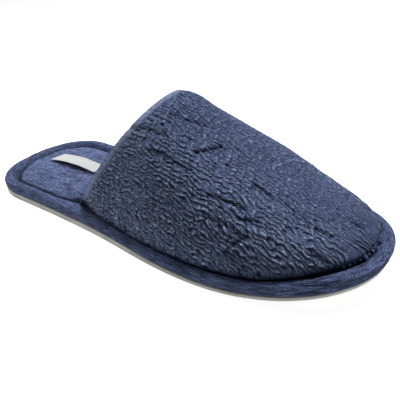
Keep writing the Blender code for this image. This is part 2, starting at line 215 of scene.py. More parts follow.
class Folds(NamedTuple):
    """Rows of broken, wavy folds; lengths in mm, but depth and lift in metres."""

    seed: int
    spacing: float
    sway: float
    jitter: float
    stroke: float
    depth: float
    lift: float
    valley: float = 0.40
    lip: float = 0.38
    sway_size: float = 13.0
    jitter_size: float = 3.8
    row_step: float = 3.7
    breaks: Span = (-0.55, 0.0)

    def at(self, u: Array, v: Array, rise: Array | float, wild: Array | float = 1.0
           ) -> tuple[Array, Array]:
        """Valleys of the folds, and the raised lips that lie beside them.

        Args:
            u: Millimetres along the rows.
            v: Millimetres across them.
            rise: How far across the lips lie from their valleys.
            wild: How strongly the rows waver.

        Returns:
            How strongly each point lies in a valley, and on a lip.
        """
        size = self.jitter_size
        drift = self.sway * Crumple(self.seed).at(u / self.sway_size, v / self.sway_size)
        drift = drift + self.jitter * wild * Crumple(self.seed + 1).at(u / size, v / size)
        phase = (v + drift) / self.spacing
        row = np.round(phase)
        off = (phase - row) * self.spacing
        noise = Crumple(self.seed + 2).at(u / self.stroke, row * self.row_step)
        whole = ramp(noise, *self.breaks)
        valley = fold(off, self.valley) * whole
        return valley, fold(off - rise, self.lip) * whole * (1.0 - valley)


# The shoe's last

class SideSizes(NamedTuple):
    """Sizes of one side of the outline seen from above."""

    sign: float
    waist: float
    ball_from_heel: float
    ball: float
    toe_power: float


class Side(Enum):
    """Sides of the right foot."""

    LATERAL = SideSizes(sign=-1.0, waist=0.0495, ball_from_heel=0.188, ball=0.056, toe_power=2.18)
    MEDIAL = SideSizes(sign=1.0, waist=0.0425, ball_from_heel=0.2125, ball=0.0605, toe_power=2.30)


class SoleRow(NamedTuple):
    """Outsole at a distance from the heel: how far it has thinned, and a share of its inset."""

    at: float
    thins: float
    inset: float


class RimRow(NamedTuple):
    """Rim at a distance from the heel: shares of its height and width."""

    at: float
    height: float
    width: float


@dataclass(frozen=True)
class Last:
    """Outline from above and heights of the sole and rim, read at distances from the heel."""

    length: float = 0.290
    heel_round: float = 0.036
    heel_half_width: float = 0.047
    heel_power: float = 2.3
    waist_from_heel: float = 0.115
    toe_tip_shift: float = 0.004
    toe_spring: float = 0.0105
    spring_from_heel: float = 0.198
    sole_heel: float = 0.0048
    sole_ball: float = 0.0030
    sole_inset: float = 0.0010
    rim_high: float = 0.0135
    rim_wide: float = 0.0080
    clearance: float = 0.0003
    fine_steps: int = 1200
    sole_rows: tuple[SoleRow, ...] = (
        SoleRow(at=0.0000, thins=0.0, inset=1.0),
        SoleRow(at=0.1392, thins=0.0, inset=1.0),
        SoleRow(at=0.2175, thins=1.0, inset=1.0),
        SoleRow(at=0.2494, thins=1.0, inset=1.2),
        SoleRow(at=0.2900, thins=1.0, inset=2.4),
    )
    rim_rows: tuple[RimRow, ...] = (
        RimRow(at=0.0000, height=1.00, width=1.31),
        RimRow(at=0.0232, height=1.00, width=1.13),
        RimRow(at=0.0580, height=1.00, width=1.00),
        RimRow(at=0.0754, height=0.99, width=1.03),
        RimRow(at=0.0899, height=0.98, width=1.28),
        RimRow(at=0.1001, height=0.95, width=1.38),
        RimRow(at=0.1117, height=0.90, width=1.15),
        RimRow(at=0.1305, height=0.80, width=1.00),
        RimRow(at=0.1885, height=0.70, width=1.00),
        RimRow(at=0.2320, height=0.70, width=1.00),
        RimRow(at=0.2697, height=0.88, width=1.19),
        RimRow(at=0.2900, height=0.82, width=1.31),
    )

    @property
    def midline_shift(self) -> float:
        """How far the outline's middle lies to the medial side of the construction's line."""
        return (Side.MEDIAL.value.ball - Side.LATERAL.value.ball) / 2

    def outline(self, side: Side, from_heel: Array) -> Array:
        """Signed half width of the rim's outer line on one side."""
        sizes = side.value
        heel = self.heel_half_width * quarter(1.0 - from_heel / self.heel_round, self.heel_power)
        middle = eased([self.heel_round, self.waist_from_heel, sizes.ball_from_heel],
                       [self.heel_half_width, sizes.waist, sizes.ball], from_heel)
        tip = sizes.sign * self.toe_tip_shift
        reach = (from_heel - sizes.ball_from_heel) / (self.length - sizes.ball_from_heel)
        toe = tip + (sizes.ball - tip) * quarter(reach, sizes.toe_power)
        half = np.where(from_heel < self.heel_round, heel,
                        np.where(from_heel < sizes.ball_from_heel, middle, toe))
        return sizes.sign * half

    def edge(self, side: Side) -> tuple[Array, Array]:
        """Fine points and outward normals of the rim's outer line, heel to toe."""
        along = np.linspace(0.0, 1.0, self.fine_steps + 1)
        from_heel = self.length * (1.0 - np.cos(np.pi * along)) / 2.0
        points = np.column_stack([from_heel, self.outline(side, from_heel)])
        tangent = np.gradient(points, axis=0)
        normal = side.value.sign * np.column_stack([-tangent[:, 1], tangent[:, 0]])
        normal[0], normal[-1] = (-1.0, 0.0), (1.0, 0.0)
        return points, normal / np.linalg.norm(normal, axis=1)[:, None]

    def inset_line(self, side: Side, inset: Curve) -> Array:
        """The outer line moved inward by a function of the distance from the heel."""
        points, normals = self.edge(side)
        move = np.broadcast_to(inset(points[:, 0]), len(points))
        return points - normals * move[:, None]

    def ground(self, from_heel: Array) -> Array:
        """Ground line under the sole: flat, then curving up at the toe."""
        reach = (from_heel - self.spring_from_heel) / (self.length - self.spring_from_heel)
        return self.toe_spring * np.clip(reach, 0.0, 1.0) ** 2

    def sole_top(self, from_heel: Array) -> Array:
        """Upper face of the outsole."""
        thins = column(self.sole_rows, "thins", from_heel)
        return self.ground(from_heel) + self.sole_heel + (self.sole_ball - self.sole_heel) * thins

    def outsole_inset(self, from_heel: Array) -> Array:
        """Distance of the outsole's lower edge in from the rim's outer line."""
        return self.sole_inset * column(self.sole_rows, "inset", from_heel)

    def rim_height(self, from_heel: Array, rise: Array) -> Array:
        """Height at a share of the rim's rise, 0 at its foot and 1 at its crest."""
        foot = self.sole_top(from_heel) + self.clearance
        crest = self.ground(from_heel) + self.rim_high * column(self.rim_rows, "height", from_heel)
        return foot + (crest - foot) * rise

    def rim_width(self, from_heel: Array) -> Array:
        """Distance from the outer line in to the seam."""
        return self.rim_wide * column(self.rim_rows, "width", from_heel)

    def ring(self, inset: Curve, height: Curve, steps: int) -> Array:
        """Closed ring around the shoe: lateral side from heel to toe, then the medial side back.

        Args:
            inset: Distance in from the outer line, by the distance from the heel.
            height: Height of the ring, by the distance from the heel.
            steps: Steps on each side.

        Returns:
            The ring's points in the part's frame, 2 * steps of them.
        """
        sides = []
        for side in Side:
            run = travelled(self.edge(side)[0])
            even = np.linspace(0.0, run[-1], steps + 1)
            fine = self.inset_line(side, inset)
            line = np.column_stack([np.interp(even, run, fine[:, k]) for k in (0, 1)])
            sides.append(np.column_stack([line, height(line[:, 0])]))
        return self.placed(np.concatenate([sides[0], sides[1][-2:0:-1]]))

    def placed(self, points: Array) -> Array:
        """Points of the construction, moved to the part's frame."""
        return points - np.array([self.length / 2, self.midline_shift, 0.0])

    def from_heel(self, points: Array) -> Array:
        """Distance from the heel of points in the part's frame."""
        return points[..., 0] + self.length / 2


# Meshes

class Shell:
    """Gathers grids of points, and the faces between them, into one closed mesh."""

    def __init__(self) -> None:
        """Starts empty."""
        self.points: list[Array] = []
        self.faces: list[tuple[int, ...]] = []
        self.slots: list[int] = []
        self.marks: dict[str, list[Array]] = {"crease": [], "lip": [], "weave": []}
        self.count = 0

    def add(self, points: Array, weave: Array | None = None,
            crease: Array | float = 0.0, lip: Array | float = 0.0) -> Array:
        """Adds a grid of points.

        Args:
            points: The grid, its last axis x, y and z.
            weave: Millimetres along and across the cloth; the place itself where left out.
            crease: How deep in a crease each point lies, from 0 to 1; the cloth paints shade by it.
            lip: How far up on a fold's lip each point lies, from 0 to 1; the cloth paints a highlight by
                it.

        Returns:
            The points' numbers, in the grid's shape.
        """
        shape = points.shape[:-1]
        flat = points.reshape(-1, 3)
        self.points.append(flat)
        if weave is None:
            weave = points / MM
        elif weave.shape[-1] == 2:
            weave = np.concatenate([weave, np.zeros((*shape, 1))], axis=-1)
        self.marks["weave"].append(weave.reshape(-1, 3))
        self.marks["crease"].append(np.broadcast_to(crease, shape).reshape(-1))
        self.marks["lip"].append(np.broadcast_to(lip, shape).reshape(-1))
        numbers = np.arange(self.count, self.count + len(flat)).reshape(shape)
        self.count += len(flat)
        return numbers

    def quads(self, numbers: Array, closed: bool = False, slot: int = 0) -> None:
        """Faces between the neighbouring points of a grid; closed joins each row's ends."""
        if closed:
            numbers = np.concatenate([numbers, numbers[:, :1]], axis=1)
        corners = np.stack([numbers[:-1, :-1], numbers[:-1, 1:],
                            numbers[1:, 1:], numbers[1:, :-1]], -1)
        for quad in corners.reshape(-1, 4).tolist():
            self.face(quad, slot)

    def face(self, corners: Sequence[int], slot: int = 0) -> None:
        """One face; corners that repeat are left out, and nothing is made from fewer than three."""
        kept = tuple(dict.fromkeys(int(corner) for corner in corners))
        if len(kept) > 2:
            self.faces.append(kept)
            self.slots.append(slot)

    def zipped(self, first: Sequence[int], second: Sequence[int], slot: int = 0) -> None:
        """Triangles between two rows that may have different numbers of points."""
        i = j = 0
        ends = len(first) - 1, len(second) - 1
        while i < ends[0] or j < ends[1]:
            if j == ends[1] or (i < ends[0] and (i + 1) * ends[1] <= (j + 1) * ends[0]):
                self.face((first[i], first[i + 1], second[j]), slot)
                i += 1
            else:
                self.face((first[i], second[j + 1], second[j]), slot)
                j += 1

    def cap(self, ring: Array) -> None:
        """Closes a ring with rungs from side to side."""
        half = len(ring) // 2
        medial = [ring[0], *ring[:half:-1], ring[half]]
        self.quads(np.stack([ring[:half + 1], np.array(medial)]))

    def tube(self, rings: Array, weave: Array | None = None, crease: Array | float = 0.0) -> None:
        """Adds stacked rings, joined to each other and closed at both ends."""
        numbers = self.add(rings, weave, crease)
        self.quads(numbers, closed=True)
        self.cap(numbers[0])
        self.cap(numbers[-1])

    def finish(self, name: str, materials: Sequence[Material]) -> Object:
        """Welds the points, faces the mesh outward and links its object."""
        data = bpy.data.meshes.new(name)
        data.from_pydata(np.concatenate(self.points).tolist(), [], self.faces)
        for material in materials:
            data.materials.append(material)
        data.polygons.foreach_set("material_index", self.slots)
        for mark, values in self.marks.items():
            store(data, mark, np.concatenate(values))
        mesh = bmesh.new()
        mesh.from_mesh(data)
        bmesh.ops.remove_doubles(mesh, verts=mesh.verts, dist=MERGE_DISTANCE)
        bmesh.ops.dissolve_degenerate(mesh, edges=mesh.edges, dist=MERGE_DISTANCE)
        bmesh.ops.recalc_face_normals(mesh, faces=mesh.faces)
        if mesh.calc_volume(signed=True) < 0.0:
            bmesh.ops.reverse_faces(mesh, faces=mesh.faces)
        mesh.to_mesh(data)
        mesh.free()
        data.shade_smooth()
        return linked(name, data)


def linked(name: str, data: bpy.types.ID) -> Object:
    """A new object at the origin that shows a mesh, a lamp or a camera."""
    made = bpy.data.objects.new(name, data)
    bpy.context.scene.collection.objects.link(made)
    return made


def grid_normals(points: Array) -> Array:
    """Unit normals of a grid's surface, from its neighbouring points."""
    normal = np.cross(np.gradient(points, axis=0), np.gradient(points, axis=1))
    size = np.linalg.norm(normal, axis=-1, keepdims=True)
    return normal / np.maximum(size, TINY)


def places_of(data: Mesh, what: str = "co") -> Array:
    """The places of a mesh's points, or their normals."""
    values = np.zeros(len(data.vertices) * 3)
    data.vertices.foreach_get(what, values)
    return values.reshape(-1, 3)


def move_to(data: Mesh, places: Array) -> None:
    """Moves a mesh's points."""
    data.vertices.foreach_set("co", places.ravel())
    data.update()


def store(data: Mesh, name: str, values: Array) -> None:
    """Stores a number or a vector on each point of a mesh."""
    kind, key = ("FLOAT_VECTOR", "vector") if values.ndim == 2 else ("FLOAT", "value")
    stored = data.attributes.new(name, kind, "POINT")
    stored.data.foreach_set(key, values.astype(np.float32).ravel())


def plain_copy(carrier: Object, name: str) -> Object:
    """Turns an object with its modifiers into a plain mesh, and removes the first."""
    bpy.context.view_layer.update()
    graph = bpy.context.evaluated_depsgraph_get()
    data = bpy.data.meshes.new_from_object(
        carrier.evaluated_get(graph), preserve_all_data_layers=True, depsgraph=graph)
    bpy.data.objects.remove(carrier, do_unlink=True)
    data.name = name
    return linked(name, data)


def ride(piece: Object, slot: str, *nodes: str) -> None:
    """Hands a finished piece to the frame and reports it.

    Args:
        piece: The finished object.
        slot: Not used.
        nodes: The CAD nodes that it stands for.
    """
    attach(piece, "root")
    if nodes:
        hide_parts(*nodes)
    points, faces = len(piece.data.vertices), len(piece.data.polygons)
    log.info("%s: %d points, %d faces", piece.name, points, faces)


# Node trees

class Tree:
    """Adds nodes to the tree of a material or of a pattern."""

    def __init__(self, tree: bpy.types.NodeTree) -> None:
        """Takes the tree that the nodes go into."""
        self.tree = tree

    def node(self, kind: str, settings: dict | None = None, inputs: dict | None = None) -> Node:
        """Adds a node.

        Args:
            kind: The node's type.
            settings: Its properties, set before its sockets.
            inputs: Values or links for its sockets, by name, identifier or number.

        Returns:
            The new node.
        """
        made = self.tree.nodes.new(kind)
        for key, value in (settings or {}).items():
            setattr(made, key, value)
        for key, value in (inputs or {}).items():
            self.feed(self.socket(made.inputs, key), value)
        return made

    def socket(self, sockets: Sequence[NodeSocket], key: str | int) -> NodeSocket:
        """Finds a socket by number, identifier or name."""
        if isinstance(key, str):
            for found in sockets:
                if found.identifier == key:
                    return found
        return sockets[key]

    def feed(self, socket: NodeSocket, value: object) -> None:
        """Links a socket to a value or another socket, or sets its number."""
        if isinstance(value, Value):
            value = value.socket
        if isinstance(value, NodeSocket):
            self.tree.links.new(value, socket)
        else:
            socket.default_value = value


class Value:
    """A number that varies over a surface: a node socket with arithmetic."""

    def __init__(self, tree: Tree, socket: NodeSocket) -> None:
        """Wraps a socket of a tree."""
        self.tree = tree
        self.socket = socket

    def math(self, operation: str, *others: "Value | float", swap: bool = False) -> "Value":
        """Adds a Math node; swap puts this value second."""
        operands = [self, *others]
        if swap:
            operands.reverse()
        node = self.tree.node("ShaderNodeMath", {"operation": operation}, dict(enumerate(operands)))
        return Value(self.tree, node.outputs[0])

    def __add__(self, other: "Value | float") -> "Value":
        """Sum."""
        return self.math("ADD", other)

    def __mul__(self, other: "Value | float") -> "Value":
        """Product."""
        return self.math("MULTIPLY", other)

    def __sub__(self, other: "Value | float") -> "Value":
        """Difference."""
        return self.math("SUBTRACT", other)

    def __rsub__(self, other: float) -> "Value":
        """Difference from a number."""
        return self.math("SUBTRACT", other, swap=True)

    def sine(self) -> "Value":
        """Sine of the value in radians."""
        return self.math("SINE")

    def ramp(self, low: float, high: float) -> "Value":
        """Soft step from 0 at low to 1 at high."""
        node = self.tree.node("ShaderNodeMapRange", {"interpolation_type": "SMOOTHSTEP"},
                              {"Value": self, "From Min": low, "From Max": high})
        return Value(self.tree, node.outputs[0])


class Paint(Tree):
    """Builds one material around a Principled shader."""

    def __init__(self, name: str) -> None:
        """Makes the material."""
        self.material = bpy.data.materials.new(name)
        self.material.use_nodes = True
        super().__init__(self.material.node_tree)
        self.shader = self.tree.nodes["Principled BSDF"]

    def look(self, colour: NodeSocket, roughness: float, height: Value, distance: float) -> Material:
        """Sets the shader's colour, roughness and relief, and returns the material."""
        self.feed(self.shader.inputs["Base Color"], colour)
        self.shader.inputs["Roughness"].default_value = roughness
        made = self.node("ShaderNodeBump", None, {"Height": height, "Distance": distance})
        self.feed(self.shader.inputs["Normal"], made.outputs["Normal"])
        return self.material

    def weave(self) -> NodeSocket:
        """Millimetres along and across the cloth."""
        return self.node("ShaderNodeAttribute", {"attribute_name": "weave"}).outputs["Vector"]

    def mark(self, name: str) -> Value:
        """A number stored on the mesh's points: how deep in a crease, painted as shade, or far up on a
        lip, painted as a highlight.
        """
        made = self.node("ShaderNodeAttribute", {"attribute_name": name})
        return Value(self, made.outputs["Fac"])

    def part(self, vector: NodeSocket, axis: int) -> Value:
        """One coordinate of a vector."""
        return Value(self, self.node("ShaderNodeSeparateXYZ", None, {0: vector}).outputs[axis])

    def noise(self, vector: NodeSocket, size: tuple[float, float, float],
              detail: float = 2.0) -> Value:
        """Noise over a vector of millimetres, of a size along each of its axes."""
        stretch = tuple(1 / length for length in size)
        scaled = self.node("ShaderNodeVectorMath", {"operation": "MULTIPLY"}, {0: vector, 1: stretch})
        made = self.node("ShaderNodeTexNoise", {"noise_dimensions": "3D"},
                         {"Vector": scaled.outputs[0], "Scale": 1.0, "Detail": detail})
        return Value(self, made.outputs[0])

    def mix(self, factor: Value, first: object, second: object) -> NodeSocket:
        """Colour that goes from first to second as factor goes from 0 to 1."""
        made = self.node("ShaderNodeMix", {"data_type": "RGBA"},
                         {"Factor_Float": factor, "A_Color": first, "B_Color": second})
        return self.socket(made.outputs, "Result_Color")

    def threads(self, weave: NodeSocket, size: float) -> Value:
        """Crossing threads of a size in millimetres, from -1 to 1."""
        turn = 2.0 * math.pi / size
        return (self.part(weave, 0) * turn).sine() * (self.part(weave, 1) * turn).sine()


def opaque(colour: Colour) -> tuple[float, float, float, float]:
    """A colour with full cover."""
    return (*colour, 1.0)


@dataclass(frozen=True)
class ClothFinish:
    """Matt cotton: streaks along the cloth, fine puckers, pressed lines and thread; sizes in mm. Shade is
    painted into its folds, creases and fine lines, and highlights onto its raised crests and fold lips.
    """

    name: str
    # Colour painted on the raised crests, a painted highlight against the body colour.
    crest: Colour
    body: Colour
    # Colour of the shade painted into folds, creases, seams and fine lines.
    fold: Colour
    # Colour of the highlight painted on fold lips and the collar's band.
    painted_highlight: Colour = (0.450, 0.550, 0.800)
    lip_light: float = 1.00
    lit: Span = (0.38, 0.62)
    streak_share: float = 0.42
    streak_length: float = 9.0
    streak_width: float = 1.3
    streak_rise: float = 0.5
    line_length: float = 5.0
    line_width: float = 1.6
    line_share: float = 0.055
    line_shade: float = 0.45
    line_rise: float = 0.35
    pucker_share: float = 0.48
    pucker_size: float = 0.9
    pucker_rise: float = 0.30
    patch_share: float = 0.10
    patch_size: tuple[float, float, float] = (20.0, 1 / 0.07, 1 / 0.07)
    thread: float = 0.55
    thread_rise: float = 0.06
    relief: float = 0.00045
    roughness: float = 0.92
    sheen: float = 0.02
    specular: float = 0.1

    def material(self) -> Material:
        """Builds the cloth's material."""
        paint = Paint(self.name)
        weave = paint.weave()
        streaks = paint.noise(weave, (self.streak_length, self.streak_width, self.streak_width))
        puckers = paint.noise(weave, (self.pucker_size,) * 3, 3.0)
        lines = paint.noise(weave, (self.line_length, self.line_width, self.line_width), 1.0) - 0.5
        flat = lines.math("ABSOLUTE").ramp(0.0, self.line_share)
        patches = paint.noise(weave, self.patch_size, 1.0)
        # Painted highlight: the colour goes from body to crest where the streaks and puckers rise, the
        # same noise that raises the relief, with random patches of tone besides.
        highlight_and_tone = streaks * self.streak_share + puckers * self.pucker_share + patches * self.patch_share
        colour = paint.mix(highlight_and_tone.ramp(*self.lit), opaque(self.body), opaque(self.crest))
        # Painted highlight: the pale colour is mixed in where the lip mark is high.
        colour = paint.mix(paint.mark("lip") * self.lip_light, colour, opaque(self.painted_highlight))
        # Painted shade: the fold colour is mixed in by the crease mark and along the fine lines.
        dark = paint.mark("crease").math("MAXIMUM", (1.0 - flat) * self.line_shade)
        colour = paint.mix(dark, colour, opaque(self.fold))
        height = (streaks * self.streak_rise + puckers * self.pucker_rise + flat * self.line_rise
                  + paint.threads(weave, self.thread) * self.thread_rise)
        paint.shader.inputs["Sheen Weight"].default_value = self.sheen
        paint.shader.inputs["Specular IOR Level"].default_value = self.specular
        return paint.look(colour, self.roughness, height, self.relief)


@dataclass(frozen=True)
class RubberFinish:
    """Matt foamed rubber with a fine speckle and slight scuffs; sizes in mm."""

    name: str = "outsole_rubber"
    pale: Colour = (0.44, 0.44, 0.41)
    dark: Colour = (0.27, 0.27, 0.25)
    grain: float = 0.7
    patch: float = 1 / 0.06
    lit: Span = (0.30, 0.66)
    grain_depth: float = 0.00015
    roughness: float = 0.62

    def material(self) -> Material:
        """Builds the rubber's material."""
        paint = Paint(self.name)
        place = paint.weave()
        grain = paint.noise(place, (self.grain,) * 3)
        patches = paint.noise(place, (self.patch,) * 3)
        shade = (grain * 0.5 + patches * 0.5).ramp(*self.lit)
        colour = paint.mix(shade, opaque(self.dark), opaque(self.pale))
        return paint.look(colour, self.roughness, grain, self.grain_depth)


@dataclass(frozen=True)
class TapeFinish:
    """Plain woven tape, bare of any words; sizes in mm."""

    name: str = "label_weave"
    warp: Colour = (0.33, 0.34, 0.33)
    weft: Colour = (0.24, 0.25, 0.26)
    thread: float = 0.6
    thread_shade: float = 0.35
    soil_size: tuple[float, float, float] = (1 / 0.22, 1 / 0.35, 1 / 0.35)
    soil: Span = (0.35, 0.75)
    soil_shade: float = 0.45
    thread_depth: float = 0.00008
    roughness: float = 0.75

    def material(self) -> Material:
        """Builds the tape's material."""
        paint = Paint(self.name)
        weave = paint.weave()
        threads = paint.threads(weave, self.thread) * 0.5 + 0.5
        soil = paint.noise(weave, self.soil_size, 3.0).ramp(*self.soil)
        shade = threads * self.thread_shade + soil * self.soil_shade
        colour = paint.mix(shade, opaque(self.warp), opaque(self.weft))
        return paint.look(colour, self.roughness, threads, self.thread_depth)


# Cloth colours: body is the base, crest is painted on raised crests as a highlight, fold is painted as
# shade in folds and creases.
UPPER_CLOTH = ClothFinish("upper_cloth", crest=(0.148, 0.200, 0.385), body=(0.034, 0.051, 0.115),
                          fold=(0.005, 0.008, 0.028), streak_length=2.6, streak_width=0.8,
                          relief=0.00380, line_length=3.6, line_width=1.15, line_share=0.08,
                          line_shade=0.55, pucker_size=0.65)
RIM_CLOTH = ClothFinish("rim_cloth", crest=(0.118, 0.158, 0.310), body=(0.040, 0.058, 0.128),
                        fold=(0.012, 0.018, 0.046), streak_length=7.0, streak_width=1.0,
                        relief=0.00280, line_length=8.0, line_width=1.3, line_shade=0.80)
INSOLE_CLOTH = ClothFinish("insole_cloth", crest=(0.130, 0.170, 0.320), body=(0.055, 0.077, 0.160),
                           fold=(0.014, 0.020, 0.052), streak_length=7.0, streak_width=1.1,
                           relief=0.00200, line_length=6.0, line_width=1.4, line_shade=0.60)
LINING_CLOTH = ClothFinish("lining_cloth", crest=(0.060, 0.078, 0.135), body=(0.038, 0.050, 0.090),
                           fold=(0.016, 0.022, 0.048), streak_length=3.0, streak_width=2.0,
                           relief=0.00020, line_shade=0.2)


# Geometry Nodes

class Pattern(Tree):
    """A Geometry Nodes tree with named inputs, run on one mesh and kept as a plain mesh."""

    def __init__(self, name: str, inputs: dict[str, tuple[str, object]]) -> None:
        """Makes the tree's sockets.

        Args:
            name: The tree's name.
            inputs: Each named input's socket type and first value.
        """
        super().__init__(bpy.data.node_groups.new(name, "GeometryNodeTree"))
        sides = self.tree.interface
        sides.new_socket("Geometry", in_out="INPUT", socket_type="NodeSocketGeometry")
        for label, (kind, value) in inputs.items():
            socket = sides.new_socket(label, in_out="INPUT", socket_type="NodeSocket" + kind)
            socket.default_value = value
        sides.new_socket("Geometry", in_out="OUTPUT", socket_type="NodeSocketGeometry")
        self.start = self.tree.nodes.new("NodeGroupInput")
        self.end = self.tree.nodes.new("NodeGroupOutput")

    def given(self, name: str) -> NodeSocket:
        """One of the tree's own inputs."""
        return self.start.outputs[name]

    def along_line(self) -> tuple[NodeSocket, NodeSocket]:
        """Points at the given spacing along the line, and turns that face outward there."""
        curve = self.node("GeometryNodeMeshToCurve", None, {"Mesh": self.given("Geometry")})
        spread = self.node("GeometryNodeResampleCurve", {"mode": "LENGTH"},
                           {"Curve": curve.outputs[0], "Length": self.given("Spacing")})
        facing = self.node("FunctionNodeAlignRotationToVector", {"axis": "X"},
                           {"Vector": self.stored("outward", "FLOAT_VECTOR")})
        return spread.outputs[0], facing.outputs[0]

    def stored(self, name: str, kind: str) -> NodeSocket:
        """An attribute of the points."""
        made = self.node("GeometryNodeInputNamedAttribute", {"data_type": kind}, {"Name": name})
        return made.outputs["Attribute"]

    def close(self, points: NodeSocket, instance: Node, material: Material,
              turns: dict[str, "NodeSocket | Value"]) -> None:
        """Sets an instance on each point, makes all real and ends the tree.

        Args:
            points: The points.
            instance: The node that makes the instance.
            material: The instances' material.
            turns: Rotation and scale of the instances.
        """
        placed = self.node("GeometryNodeInstanceOnPoints", None,
                           {"Points": points, "Instance": instance.outputs[0], **turns})
        real = self.node("GeometryNodeRealizeInstances", None, {"Geometry": placed.outputs[0]})
        smooth = self.node("GeometryNodeSetShadeSmooth", None, {"Geometry": real.outputs[0]})
        dressed = self.node("GeometryNodeSetMaterial", None,
                            {"Geometry": smooth.outputs[0], "Material": material})
        self.tree.links.new(dressed.outputs[0], self.end.inputs[0])

    def run(self, data: Mesh, name: str, values: dict[str, object]) -> Object:
        """Runs the tree on a mesh.

        Args:
            data: The mesh that the pattern follows.
            name: Name of the piece that is made.
            values: Values of the tree's named inputs.

        Returns:
            The pattern as an object with a plain mesh.
        """
        carrier = linked(name, data)
        modifier = carrier.modifiers.new(name, "NODES")
        modifier.node_group = self.tree
        for item in self.tree.interface.items_tree:
            if item.in_out == "INPUT" and item.name in values:
                modifier[item.identifier] = values[item.name]
        made = plain_copy(carrier, name)
        store(made.data, "weave", places_of(made.data) / MM)
        return made


def guide_line(name: str, points: Array, outward: Array, closed: bool) -> Mesh:
    """A line of edges that carries its outward direction for a pattern to follow."""
    count = len(points)
    edges = [(i, i + 1) for i in range(count - 1)]
    if closed:
        edges.append((count - 1, 0))
    data = bpy.data.meshes.new(name)
    data.from_pydata(points.tolist(), edges, [])
    store(data, "outward", outward)
    return data


# Sub-assemblies

